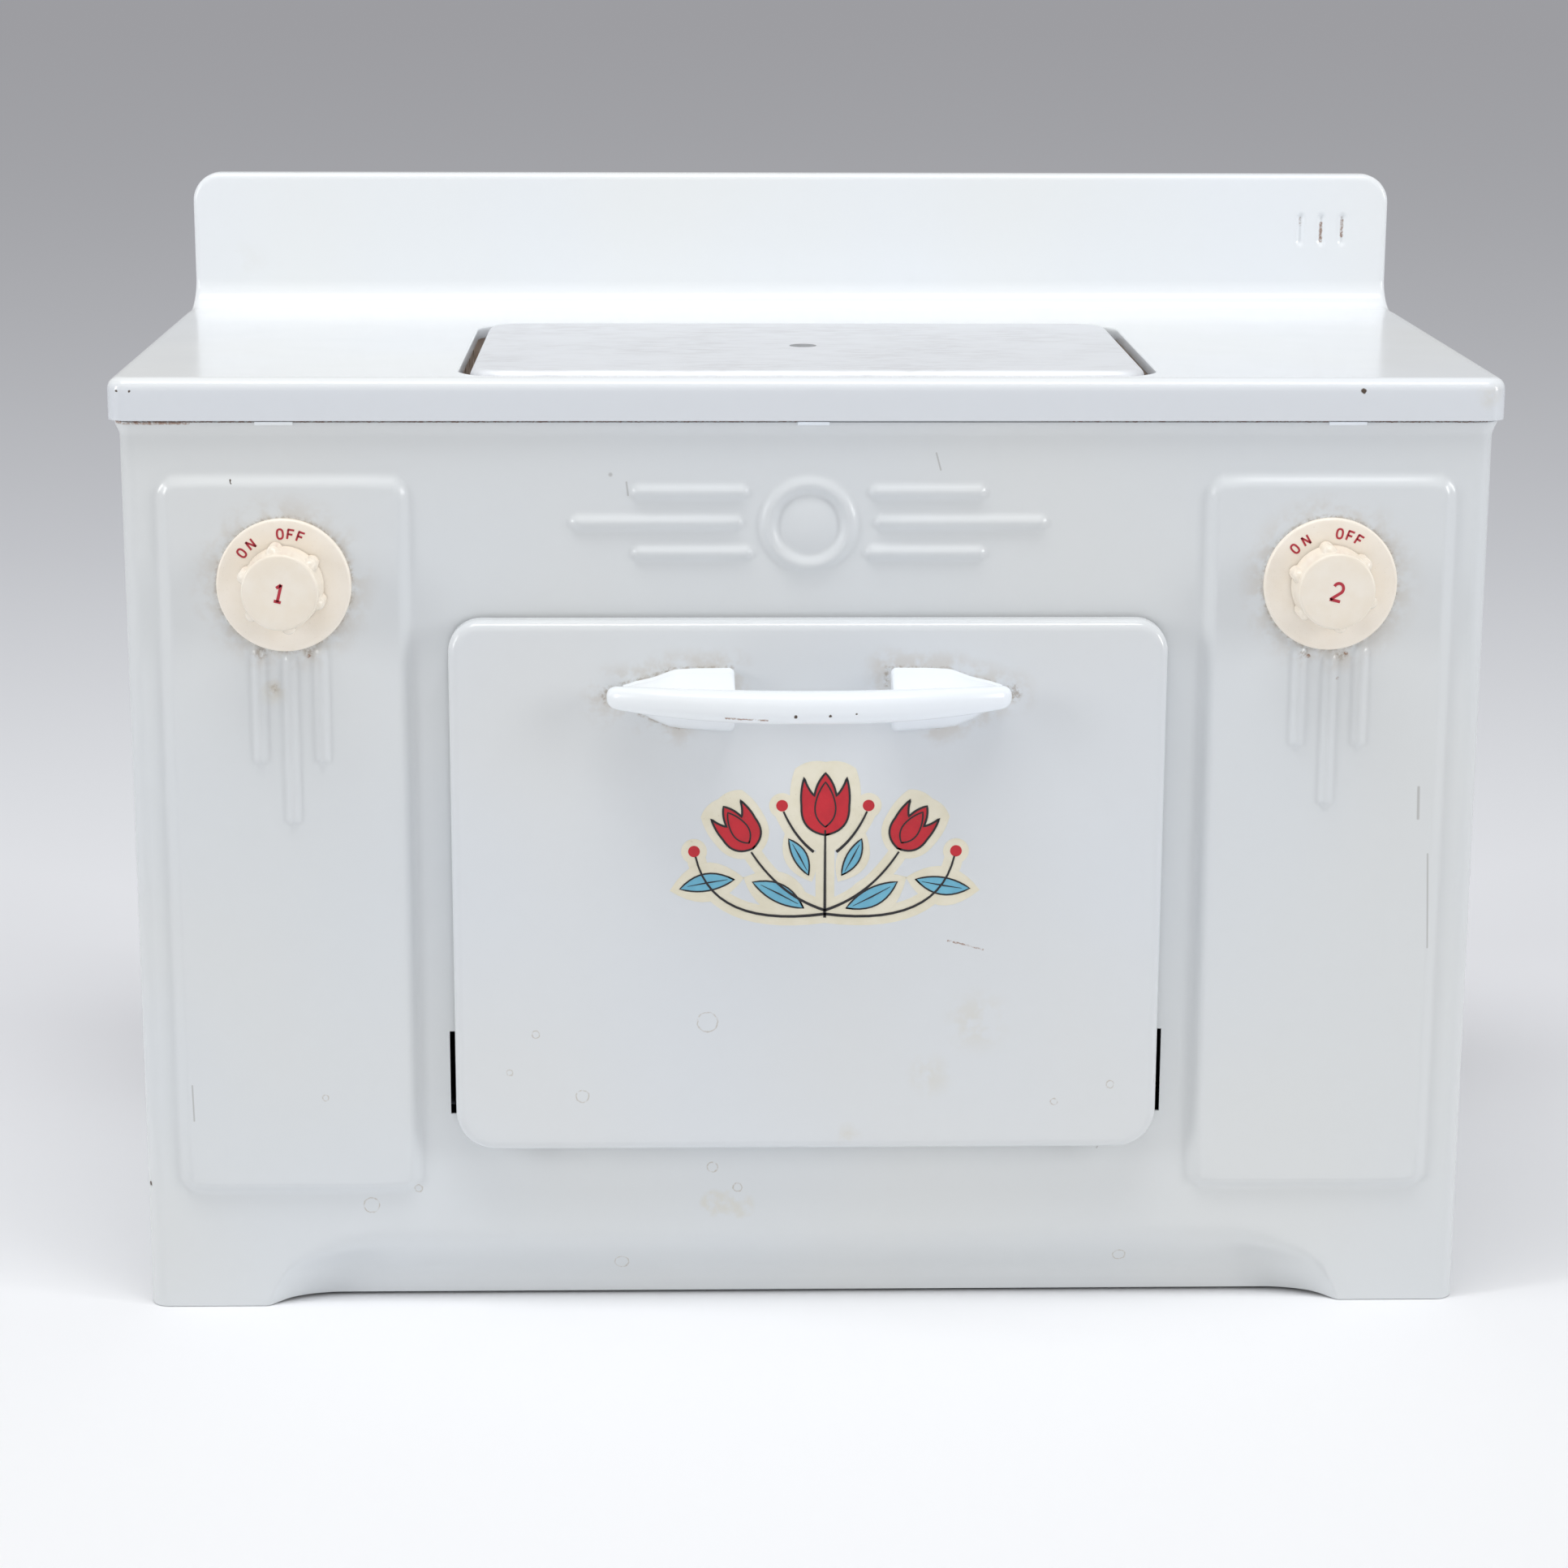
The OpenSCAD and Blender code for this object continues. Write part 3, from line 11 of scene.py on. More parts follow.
import bpy
import numpy as np
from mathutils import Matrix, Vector


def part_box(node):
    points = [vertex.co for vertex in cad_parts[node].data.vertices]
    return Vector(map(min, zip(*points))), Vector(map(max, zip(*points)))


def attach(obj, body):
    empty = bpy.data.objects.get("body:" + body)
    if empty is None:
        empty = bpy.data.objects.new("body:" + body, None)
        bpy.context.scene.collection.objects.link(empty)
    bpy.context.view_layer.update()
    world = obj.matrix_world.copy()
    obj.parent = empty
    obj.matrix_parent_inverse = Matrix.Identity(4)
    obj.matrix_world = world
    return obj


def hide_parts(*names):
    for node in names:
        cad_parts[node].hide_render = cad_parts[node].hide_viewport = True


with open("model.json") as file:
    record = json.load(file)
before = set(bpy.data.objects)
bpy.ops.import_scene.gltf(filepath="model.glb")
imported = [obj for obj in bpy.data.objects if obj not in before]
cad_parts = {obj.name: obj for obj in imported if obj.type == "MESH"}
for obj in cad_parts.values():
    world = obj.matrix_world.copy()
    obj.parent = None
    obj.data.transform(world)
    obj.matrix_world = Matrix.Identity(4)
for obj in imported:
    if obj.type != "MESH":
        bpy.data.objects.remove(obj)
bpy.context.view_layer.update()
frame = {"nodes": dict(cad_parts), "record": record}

# %% [markdown]
# All sizes below are in millimetres, with Y counted from the front face of the body, because that is how a
# sheet-metal drawing would give them. One function turns them into metres in the frame. The rear panel
# tells where the body's front face lies.

# %% From drawing to frame
MM = 0.001
BACK_Y = 167.2
FRONT_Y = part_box("back_panel")[0][1] / MM - BACK_Y


def in_frame(points):
    """Drawing to frame: move Y by the place of the front face, then turn millimetres into metres."""
    return (np.asarray(points, float) + (0.0, FRONT_Y, 0.0)) * MM


print("front face at y =", round(FRONT_Y, 3), "mm")

# %% [markdown]
# A pressed sheet is a grid of points. The grid's lines need to be close together only where the sheet
# bends, so each list of lines is built from exact places, fine stretches and a wide spacing elsewhere.

# %% Grid lines
def grid_lines(low, high, step, exact=(), fine=()):
    """Lines from low to high: the exact ones, then fine stretches (start, end, spacing), then every step.
    A line that falls too close to one already there is left out."""
    lines = np.unique(np.concatenate([[low, high], np.asarray(exact, float)]))
    for start, end, spacing in list(fine) + [(low, high, step)]:
        extra = np.arange(start, end + spacing / 2, spacing)
        gap = np.abs(extra[:, None] - lines[None, :]).min(axis=1)
        keep = (gap > 0.45 * spacing) & (extra > low) & (extra < high)
        lines = np.sort(np.concatenate([lines, extra[keep]]))
    return lines


def grid_faces(columns, rows, wrap=False):
    """Four-cornered faces of a grid whose point number is column * rows + row; wrap joins the last
    column to the first one."""
    last = columns if wrap else columns - 1
    c, r = np.meshgrid(np.arange(last), np.arange(rows - 1), indexing="ij")
    n = (c + 1) % columns
    return np.stack([c * rows + r, n * rows + r, n * rows + r + 1, c * rows + r + 1], axis=-1).reshape(-1, 4)


def both(*values):
    """Each value on the left, and then each on the right."""
    return [hand * v for hand in (-1, 1) for v in values]


def near(places, half, spacing):
    """A fine stretch of lines round each place."""
    return [(v - half, v + half, spacing) for v in places]


def smooth_step(t):
    """0 below 0, 1 above 1, and 3t^2 - 2t^3 in between."""
    t = np.clip(t, 0.0, 1.0)
    return t * t * (3.0 - 2.0 * t)


def soft_bead(distance, half):
    """Section of a pressed bead: the square of a cosine, 1 in the middle and 0 at half its width."""
    return np.cos(np.clip(np.abs(distance) / half, 0.0, 1.0) * math.pi / 2) ** 2


def lengths(vectors, least=1e-9):
    """Length of each vector in a plane, as a column, and never less than the least."""
    return np.maximum(np.hypot(vectors[:, 0], vectors[:, 1]), least)[:, None]


print("lines for a 100 mm sheet with one bead:", len(grid_lines(0, 100, 10, fine=[(45, 55, 1)])))

# %% [markdown]
# Points and faces become a Blender mesh in one helper. It also gives a bare surface its sheet thickness
# and marks the edges that should look sharp, so that flat plates shade flat and rounded edges shade round.

# %% Making a piece
def make_piece(name, points, faces, body, slot, finish, nodes=(), thickness=0.0, sharp=32.0):
    """Mesh from points in millimetres and faces; the sheet grows inwards by its thickness."""
    mesh = bpy.data.meshes.new(name)
    mesh.from_pydata(in_frame(points).tolist(), [], [list(map(int, f)) for f in faces])
    mesh.update()
    piece = bpy.data.objects.new(name, mesh)
    bpy.context.scene.collection.objects.link(piece)
    if thickness:
        wall = piece.modifiers.new("sheet", "SOLIDIFY")
        wall.thickness, wall.offset, wall.use_even_offset = thickness * MM, -1.0, True
        mesh = bpy.data.meshes.new_from_object(piece.evaluated_get(bpy.context.evaluated_depsgraph_get()))
        piece.modifiers.clear()
        piece.data = mesh
    mesh.polygons.foreach_set("use_smooth", np.ones(len(mesh.polygons), bool))
    mesh.set_sharp_from_angle(angle=math.radians(sharp))
    mesh.materials.clear()
    mesh.materials.append(finish)
    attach(piece, body)
    if nodes:
        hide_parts(*nodes)
    print(name, len(mesh.vertices), "points,", len(mesh.polygons), "faces")
    return piece


# %% [markdown]
# Openings are cut by leaving out the faces inside them and pulling the points on the new border exactly
# onto the outline. The outline is given as a distance: negative inside the opening, positive outside.

# %% Outlines and openings
def box_distance(x, z, low_x, low_z, high_x, high_z, corner=0.0):
    """Distance to a rectangle with round corners: the distance to the smaller rectangle through the
    corner centres, less the corner radius."""
    dx = np.abs(x - (low_x + high_x) / 2) - (high_x - low_x) / 2 + corner
    dz = np.abs(z - (low_z + high_z) / 2) - (high_z - low_z) / 2 + corner
    return np.hypot(np.maximum(dx, 0), np.maximum(dz, 0)) + np.minimum(np.maximum(dx, dz), 0) - corner


def open_edges(faces):
    """Edges that only one face uses, running the way that face does."""
    edges = np.stack([faces, np.roll(faces, -1, axis=1)], axis=2).reshape(-1, 2)
    key = np.sort(edges, axis=1)
    code = key[:, 0].astype(np.int64) * (faces.max() + 1) + key[:, 1]
    _, inverse, count = np.unique(code, return_inverse=True, return_counts=True)
    return edges[count[inverse] == 1]


def slope_of(distance, x, z, step=0.01):
    """Slope of a distance at (x, z): its difference over a small step each way, divided by both steps."""
    return np.stack([distance(x + step, z) - distance(x - step, z),
                     distance(x, z + step) - distance(x, z - step)], axis=1) / (2 * step)


def cut_opening(flat, faces, distance):
    """Leaves out the faces whose middle is inside, and moves the border points down the slope of the
    distance onto the outline. Returns points, faces, and the border point numbers."""
    middle = flat[faces].mean(axis=1)
    inside = distance(middle[:, 0], middle[:, 1]) < 0
    border = np.intersect1d(np.unique(faces[inside]), np.unique(faces[~inside]))
    for _ in range(3):
        slope = slope_of(distance, *flat[border].T)
        flat[border] -= distance(*flat[border].T)[:, None] * slope / lengths(slope, 1e-6) ** 2
    return flat, faces[~inside], border


# %% [markdown]
# Cooktop, door and griddle are all the same kind of pressing: a flat plate whose edge is turned down
# all the way round. So the same functions make them: they round the corners of a grid and then carry the
# turned edge along the border. The cooktop is then bent up by a function of its own, and door and griddle
# are turned and moved into place.

# %% Plate with a turned edge
def round_corners(flat, low, high, radii):
    """Pulls the four corners of a rectangular grid onto arcs. Inside each corner square, (a, b) from
    0 to 1 becomes (a sqrt(1 - b^2/2), b sqrt(1 - a^2/2)), which turns the square into a quarter disc.
    radii are those of the two low corners and the two high ones."""
    out = flat.copy()
    for sx in (-1, 1):
        for sy, radius in ((-1, radii[0]), (1, radii[1])):
            cx = (high[0] if sx > 0 else low[0]) - sx * radius
            cy = (high[1] if sy > 0 else low[1]) - sy * radius
            a = sx * (flat[:, 0] - cx) / radius
            b = sy * (flat[:, 1] - cy) / radius
            within = (a > 0) & (b > 0)
            a, b = a[within], b[within]
            out[within, 0] = cx + sx * radius * a * np.sqrt(1 - b * b / 2)
            out[within, 1] = cy + sy * radius * b * np.sqrt(1 - a * a / 2)
    return out


def outward(flat, low, high, radii):
    """Unit direction away from the plate at border points: straight out along a side, and away from
    the corner's centre on an arc."""
    middle = (low[1] + high[1]) / 2
    radius = np.where(flat[:, 1] > middle, radii[1], radii[0])
    qx = np.abs(flat[:, 0] - (low[0] + high[0]) / 2) - (high[0] - low[0]) / 2 + radius
    qy = np.abs(flat[:, 1] - middle) - (high[1] - low[1]) / 2 + radius
    n = np.stack([np.maximum(qx, 0) * np.sign(flat[:, 0] - (low[0] + high[0]) / 2),
                  np.maximum(qy, 0) * np.sign(flat[:, 1] - middle)], axis=1)
    return n / lengths(n)


def carry_rows(points, faces, edges, direction, rows):
    """Carries border edges through rows of new points. Each row holds how far it lies out along the
    direction and how deep it lies. Points are (x, y, depth)."""
    border, place = np.unique(edges, return_inverse=True)
    a, b = place.reshape(edges.shape).T
    number, added = border, [faces]
    for row in rows:
        out, down = (np.broadcast_to(v, len(direction))[border] for v in row)
        fresh = len(points) + np.arange(len(border))
        ring = np.column_stack([points[border, :2] + direction[border] * out[:, None], down])
        points = np.concatenate([points, ring])
        added.append(np.stack([number[b], number[a], fresh[a], fresh[b]], axis=1))
        number = fresh
    return points, np.concatenate(added)


def turned_edge(flat, faces, edges, direction, radius, depth, turns, drops):
    """Turns the border of a plate down: out by radius * sin(angle) and down by radius * (1 - cos(angle)),
    and then straight down to the depth."""
    rows = [(radius * math.sin(a), radius * (1 - math.cos(a))) for a in np.radians(turns)]
    rows += [(radius, radius + (depth - radius) * f) for f in drops]
    return carry_rows(np.column_stack([flat, np.zeros(len(flat))]), faces, edges, direction, rows)


def plate(low, high, radii, xs, ys):
    """Flat plate with round corners on given grid lines: its points, its faces and the edges of its rim."""
    gx, gy = np.meshgrid(xs, ys, indexing="ij")
    flat = round_corners(np.stack([gx, gy], axis=-1).reshape(-1, 2), low, high, radii)
    faces = grid_faces(len(xs), len(ys))
    return flat, faces, open_edges(faces)


def pan(low, high, radii, xs, ys, edge, depth, turns, drops, window=None):
    """Plate with an even turned edge; window is a distance that cuts a hole in it."""
    flat, faces, rim = plate(low, high, radii, xs, ys)
    if window:
        flat, faces, _ = cut_opening(flat, faces, window)
    return turned_edge(flat, faces, rim, outward(flat, low, high, radii), edge, depth, turns, drops)


def drop_unused(points, faces):
    """Leaves out points that no face uses."""
    used, inverse = np.unique(faces, return_inverse=True)
    return points[used], inverse.reshape(faces.shape)


# %% [markdown]
# ## Finishes
# Each finish starts from its real material. Colours are written as the hex values that a picture editor
# shows, and one function turns them into the linear values that Blender works with.

# %% Colours and nodes
def linear(hex_code):
    """sRGB hex to linear: c / 12.92 up to 0.04045, and ((c + 0.055) / 1.055) to the power 2.4 above."""
    c = np.array([int(hex_code[i:i + 2], 16) for i in (1, 3, 5)]) / 255
    c = np.where(c <= 0.04045, c / 12.92, ((c + 0.055) / 1.055) ** 2.4)
    return (*c.tolist(), 1.0)


def add(tree, kind, links=None, **settings):
    """Adds a node, sets its properties, and fills its inputs with values or with other nodes' outputs."""
    node = tree.nodes.new(kind)
    for key, value in settings.items():
        setattr(node, key, value)
    for key, value in (links or {}).items():
        if isinstance(value, bpy.types.NodeSocket):
            tree.links.new(value, node.inputs[key])
        else:
            node.inputs[key].default_value = value
    return node


def new_finish(name):
    """Material with an empty tree, its output, and the Object coordinates of the piece."""
    finish = bpy.data.materials.new(name)
    finish.use_nodes = True
    tree = finish.node_tree
    tree.nodes.clear()
    output = add(tree, "ShaderNodeOutputMaterial")
    place = add(tree, "ShaderNodeTexCoord").outputs["Object"]
    return finish, tree, output, place


def math_node(tree, operation, *values):
    """Result of an operation on numbers."""
    return add(tree, "ShaderNodeMath", dict(enumerate(values)), operation=operation).outputs[0]


def vector_node(tree, operation, *values):
    """Result of an operation on vectors: a number for a length or a scalar product, else a vector."""
    links = dict(zip((0, 3) if operation == "SCALE" else (0, 1), values))
    outputs = add(tree, "ShaderNodeVectorMath", links, operation=operation).outputs
    return outputs["Value" if operation in ("LENGTH", "DOT_PRODUCT") else "Vector"]


def tinted(tree, tone, tint, *shares):
    """Tone that goes over to a tint as the product of the shares goes from 0 to 1."""
    share = shares[0]
    for other in shares[1:]:
        share = math_node(tree, "MULTIPLY", share, other)
    return add(tree, "ShaderNodeMix", {0: share, 6: tone, 7: linear(tint)}, data_type="RGBA").outputs[2]


def ramp(tree, value, low, high):
    """0 where value is low, 1 where it is high, smooth in between."""
    return add(tree, "ShaderNodeMapRange", {"Value": value, "From Min": low, "From Max": high},
               interpolation_type="SMOOTHSTEP").outputs[0]


def spread(tree, value, low, high):
    """low where value is 0, high where it is 1, and in proportion between."""
    return add(tree, "ShaderNodeMapRange", {"Value": value, "To Min": low, "To Max": high}).outputs[0]


def noise(tree, place, size_mm, detail=3.0, rough=0.55, output="Fac"):
    """Noise whose lumps are about size_mm across."""
    return add(tree, "ShaderNodeTexNoise", {"Vector": place, "Scale": 1.0 / (size_mm * MM), "Detail": detail,
                                            "Roughness": rough}).outputs[output]


def surface(tree, output, tone, rough, height, strength, rise_mm, **inputs):
    """Ends a finish: a surface with a tone, a roughness and a relief about rise_mm high."""
    relief = add(tree, "ShaderNodeBump", {"Strength": strength, "Distance": rise_mm * MM, "Height": height})
    shader = add(tree, "ShaderNodeBsdfPrincipled",
                 {"Base Color": tone, "Roughness": rough, "Normal": relief.outputs[0], **inputs})
    tree.links.new(shader.outputs[0], output.inputs["Surface"])


print("enamel white in linear values:", [round(v, 3) for v in linear("#E8EAEC")[:3]])

# %% [markdown]
# Vitreous enamel is glass fused to steel: smooth and glossy, very slightly wavy like orange peel, with
# soft grime in the corners and small dark chips where the glass has broken off. Some dark lines and hazes
# are painted shade as well as grime: in the gap under the cooktop's skirt and where the handle's feet meet
# the door. Grime and chips are placed by distance from a point, so each mark sits where the real one does.

# %% Marks on a finish
def distance_to(tree, place, mark):
    """Distance in metres to a mark. A mark is (x, z, radius) or (x, z, x2, z2, radius) on a face that looks
    forward, or (x, y, z, radius). To a line from a to b it is the length of p - a - t (b - a), with
    t = (p - a) . (b - a) / |b - a|^2 kept between 0 and 1."""
    on_face = len(mark) != 4
    start = in_frame([mark[0], 0.0, mark[1]] if on_face else mark[:3])
    away = vector_node(tree, "ADD", place, tuple(-start))
    if on_face:
        away = vector_node(tree, "MULTIPLY", away, (1.0, 0.0, 1.0))
    if len(mark) == 5:
        side = np.array([mark[2] - mark[0], 0.0, mark[3] - mark[1]]) * MM
        share = vector_node(tree, "DOT_PRODUCT", away, tuple(side / (side @ side)))
        share = add(tree, "ShaderNodeClamp", {"Value": share}).outputs[0]
        away = vector_node(tree, "ADD", away, vector_node(tree, "SCALE", tuple(-side), share))
    return vector_node(tree, "LENGTH", away)


def spot_mask(tree, place, marks, soft, widest=99.0):
    """Largest of many masks: 1 well within a mark's radius, 0 a little outside it. A mark fades over the
    share soft of its radius to either side, or over widest millimetres if that is less."""
    largest = None
    for mark in marks:
        radius, fade = mark[-1] * MM, min(soft * mark[-1], widest) * MM
        mask = ramp(tree, distance_to(tree, place, mark), radius + fade, radius - fade)
        largest = mask if largest is None else math_node(tree, "MAXIMUM", largest, mask)
    return largest


def wobbling(tree, place, size_mm, amount_mm):
    """Coordinates shaken by noise, so that round marks get a ragged outline."""
    shake = vector_node(tree, "ADD", noise(tree, place, size_mm, output="Color"), (-0.5, -0.5, -0.5))
    return vector_node(tree, "ADD", place, vector_node(tree, "SCALE", shake, amount_mm * MM))


# %% Enamel
# The haze, grime and rust colours also paint shade: in the gap under the cooktop's skirt and along the
# handle's feet.
HAZE_AND_SHADE, GRIME_AND_SHADE, RING, SCRATCH, RUST_AND_SHADE, CHIP = "#B7A58C", "#8F7B63", "#A08D6E", "#8B8781", "#8A5A34", "#4F4136"
RING_HALF = 0.26


def enamel(name, colour, warm, chips=(), stains=(), soft_stains=(), grime_and_shade=(), rings=(), scratches=(), rust_and_shade=(),
           roughness=0.20, skirt_shade=None):
    """Glossy enamel: base colour drifting a little towards a warmer one, faint stains, thin rings left by
    dried drops, hairline scratches, and dark chips. A grime and shade entry is a place or a line with two
    radii, of the dark middle and of the haze round it: grime, and where the handle's feet meet the door also
    painted contact shade. Rust and shade marks are rust and grime, and along the gap under the cooktop's
    skirt also painted shade of the gap. The skirt shade is (low, high, colour): painted shade, a greyer tone
    below a height, for the darker look of the upright edge turned down."""
    finish, tree, output, place = new_finish(name)
    tone = tinted(tree, linear(colour), warm, ramp(tree, noise(tree, place, 90.0, 1.0), 0.3, 0.75), 0.4)
    # Painted shade: below a height the tone turns greyer, for the darker look of the upright skirt.
    if skirt_shade:
        height = add(tree, "ShaderNodeSeparateXYZ", {"Vector": place}).outputs["Z"]
        tone = tinted(tree, tone, skirt_shade[2], ramp(tree, height, skirt_shade[1] * MM, skirt_shade[0] * MM))
    ragged, fine = wobbling(tree, place, 2.5, 2.2), wobbling(tree, place, 0.9, 0.7)
    patchy_noise = noise(tree, place, 1.3, 4.0, 0.7)
    cloud = ramp(tree, noise(tree, place, 5.0, 3.0), 0.36, 0.62)
    # Grime and painted shade: a dark line and a haze round places and lines.
    if grime_and_shade:
        haze_and_shade = spot_mask(tree, ragged, [mark[:-2] + mark[-1:] for mark in grime_and_shade], 0.8, 5.2)
        tone = tinted(tree, tone, HAZE_AND_SHADE, haze_and_shade, cloud, 0.32)
        dense = spot_mask(tree, fine, [mark[:-1] for mark in grime_and_shade], 0.8, 0.9)
        tone = tinted(tree, tone, GRIME_AND_SHADE, dense, ramp(tree, patchy_noise, 0.40, 0.62), 0.55)
    for marks, soft, tint, amount in ((stains, 0.30, "#CDBE92", 0.22), (soft_stains, 0.95, "#CFC7B0", 0.30)):
        if marks:
            tone = tinted(tree, tone, tint, spot_mask(tree, ragged, marks, soft), cloud, amount)
    for ring in rings:
        off = math_node(tree, "ADD", distance_to(tree, fine, ring), -ring[-1] * MM)
        off = math_node(tree, "ABSOLUTE", off)
        thin = add(tree, "ShaderNodeMapRange", {"Value": off, "From Min": RING_HALF * MM, "From Max": 0.0})
        tone = tinted(tree, tone, RING, thin.outputs[0], ramp(tree, patchy_noise, 0.30, 0.60), 0.55)
    rough = spread(tree, noise(tree, place, 25.0, 1.0), roughness, roughness + 0.06)
    if scratches:
        tone = tinted(tree, tone, SCRATCH, spot_mask(tree, place, scratches, 0.6), 0.45)
    # Rust and grime, and under the cooktop's skirt painted shade of the gap.
    if rust_and_shade:
        tone = tinted(tree, tone, RUST_AND_SHADE, spot_mask(tree, fine, rust_and_shade, 0.4), ramp(tree, patchy_noise, 0.35, 0.6), 0.8)
    if chips:
        chip = spot_mask(tree, fine, chips, 0.25)
        tone = tinted(tree, tone, CHIP, chip)
        rough = add(tree, "ShaderNodeMix", {0: chip, 2: rough, 3: 0.7}).outputs[0]
    surface(tree, output, tone, rough, noise(tree, place, 7.0, 0.0), 1.0, 0.012, IOR=1.52)
    print(name, len(tree.nodes), "nodes")
    return finish


PANEL_X, DIAL_Z = 136.4, 200.5
body_enamel = enamel(
    "vitreous_enamel_body", "#DADEE1", "#DEDEDA",
    chips=[(-149.7, 227.9, -149.4, 227.0, 0.18), (-178.2, 1.8, 34.7, 1.0)],
    stains=[(-24.6, 28.9, -17.6, 28.4, 3.6)],
    soft_stains=[(-139.9, 171.7, 2.5)],
    grime_and_shade=[(-PANEL_X, DIAL_Z, 18.0, 21.0), (PANEL_X, DIAL_Z, 18.0, 21.0), (-142.8, 182.6, 1.6, 3.4),
           (-130.4, 182.8, 1.4, 2.8), (-139.6, 172.9, 0.9, 2.0), (129.9, 182.4, 1.5, 3.2),
           (140.1, 181.6, 1.5, 3.6)],
    rings=[(-50.2, 9.8, 1.9), (-117.8, 28.9, 2.1), (-25.3, 39.3, 1.4), (-129.3, 60.2, 0.8),
           (-18.5, 33.5, 1.2), (86.6, 11.5, 1.7), (-105.0, 33.7, 1.0)],
    scratches=[(-47.4, 227.0, -47.0, 223.6, 0.22), (33.0, 234.6, 34.2, 230.2, 0.2), (-51.5, 229.0, 0.5),
               (165.4, 127.2, 166.5, 101.2, 0.22), (162.2, 145.5, 162.4, 137.0, 0.35),
               (-164.9, 63.8, -164.7, 53.9, 0.2), (79.1, 44.4, 80.6, 47.0, 0.2)],
    # The first three rust marks run along the gap under the cooktop's skirt: brown grime and painted shade of
    # the gap together. The spots below the dials are grime.
    rust_and_shade=[(-178.6, 242.7, -160.0, 242.8, 0.55), (-160.0, 242.9, 0.0, 243.1, 0.20),
          (60.0, 243.1, 176.0, 242.9, 0.16), (131.5, 181.2, 0.5), (141.4, 181.9, 0.5), (139.4, 175.1, 0.4),
          (-130.5, 181.6, 0.5)])
# The cooktop's upright skirt is painted greyer below 250.6 mm: painted shade of an upright face.
white_enamel = enamel(
    "vitreous_enamel_cooktop", "#ECF0F4", "#EEEFEB", roughness=0.16, skirt_shade=(250.6, 254.2, "#DCE0E5"),
    chips=[(-178.0, -2.2, 251.0, 0.45), (-174.5, -2.4, 251.0, 0.35), (143.1, -2.5, 251.1, 0.7)],
    soft_stains=[(176.6, -2.0, 249.5, 2.6), (-163.0, 157.0, 268.0, 6.0)],
    rust_and_shade=[(152.7, 280.5, 152.7, 278.5, 0.35), (159.0, 279.0, 159.0, 273.8, 0.45),
          (165.3, 280.6, 165.3, 275.2, 0.45)])
# Edges where the handle's feet meet the door: the dark line and haze painted there are grime and painted
# contact shade together.
HANDLE_EDGE = ((49.5, 174.7, 41.4, 176.9), (41.4, 176.9, 36.0, 178.9), (36.0, 178.9, 20.0, 179.3),
               (49.5, 170.4, 42.0, 165.8), (42.0, 165.8, 34.0, 163.3), (20.3, 179.3, 20.3, 174.5))
door_enamel = enamel(
    "vitreous_enamel_door", "#DBDFE3", "#DEDEDA", roughness=0.15,
    soft_stains=[(45.4, 82.8, 6.0), (33.1, 67.5, 4.0), (11.5, 50.7, 2.5)],
    grime_and_shade=[(-51.8, 171.8, 2.6, 6.0), (53.2, 172.4, 2.4, 4.6)] + [
        (hand * x, z, hand * x2, z2, 0.55, 3.8) for hand in (-1, 1) for x, z, x2, z2 in HANDLE_EDGE],
    rings=[(-26.6, 82.7, 2.7), (-60.1, 62.0, 1.7), (-79.5, 68.7, 0.8), (-72.4, 79.4, 1.0),
           (81.5, 64.8, 1.0), (66.5, 60.0, 0.9)],
    scratches=[(13.2, 119.3, 14.5, 118.2, 0.2)],
    rust_and_shade=[(37.3, 105.1, 46.7, 102.6, 0.22)])
handle_enamel = enamel(
    "enamelled_casting", "#F2F8FF", "#EEEFEA",
    chips=[(-4.0, -29.0, 171.0, 0.5), (4.8, -29.0, 171.2, 0.45), (6.5, -28.9, 169.6, 0.4),
           (11.6, -28.6, 171.6, 0.3)],
    rust_and_shade=[(-21.9, 170.2, -11.1, 169.9, 0.22), (-27.0, 182.2, -19.5, 182.2, 0.30),
          (18.5, 182.2, 27.5, 182.2, 0.30)])

# %% [markdown]
# ## The body
# The real body is one strip of steel, bent round the two front corners, with panels, ribs and a ring
# pressed into it. So it is drawn the same way: a long flat strip is bent along the outline, and the
# pressed details push its points forward.

# %% Sizes of the body
HALF_W, CORNER, SHEET = 178.5, 5.0, 0.8
BODY_TOP, FLANGE = 253.1, 8.0
FLARE_OUT, FLARE_FROM, FLARE_TO = 1.2, 238.9, 244.0
PANEL_LOW, PANEL_HIGH, PANEL_HALF_W, PANEL_R, PANEL_OUT, PANEL_SLOPE = 32.0, 229.8, 33.2, 6.4, 2.0, 3.9
RING_Z, RING_R, RING_OUT, DOME_R, DOME_OUT = 215.9, 10.6, 1.3, 7.7, 1.15
RIB_Z, RIB_PITCH, RIB_OUT, RIB_ENDS = 216.5, 8.0, 1.35, ((16.6, 44.2), (19.2, 60.2), (17.6, 44.2))
DRIP_PITCH, DRIP_SHIFT, DRIP_OUT, DRIP_HALF, BEAD_HALF, RIB_HALF = 8.2, 0.9, 1.1, 2.2, 2.9, 2.7
DRIP_ENDS = {-1: (154.0, 137.5, 154.0), 1: (158.1, 142.1, 158.1)}
TOE_H, TOE_DEPTH, TOE_HALF, TOE_R, TOE_SWEEP = 22.4, 8.0, 116.0, 32.0, 18.0
BUSH_HOLE = 4.5
WINDOWS = ((-83.0, 60.0, 83.0, 182.0, 3.0), (91.6, 54.9, 95.8, 78.2), (-95.8, 54.9, -91.6, 78.2),
           (68.8, 46.55, 71.2, 50.05), (-71.2, 46.55, -68.8, 50.05))


def rib(along, across, half):
    """Bead with round ends: along is how far a place lies beyond the bead's ends, across how far beside."""
    return soft_bead(np.hypot(np.maximum(along, 0), across), half)


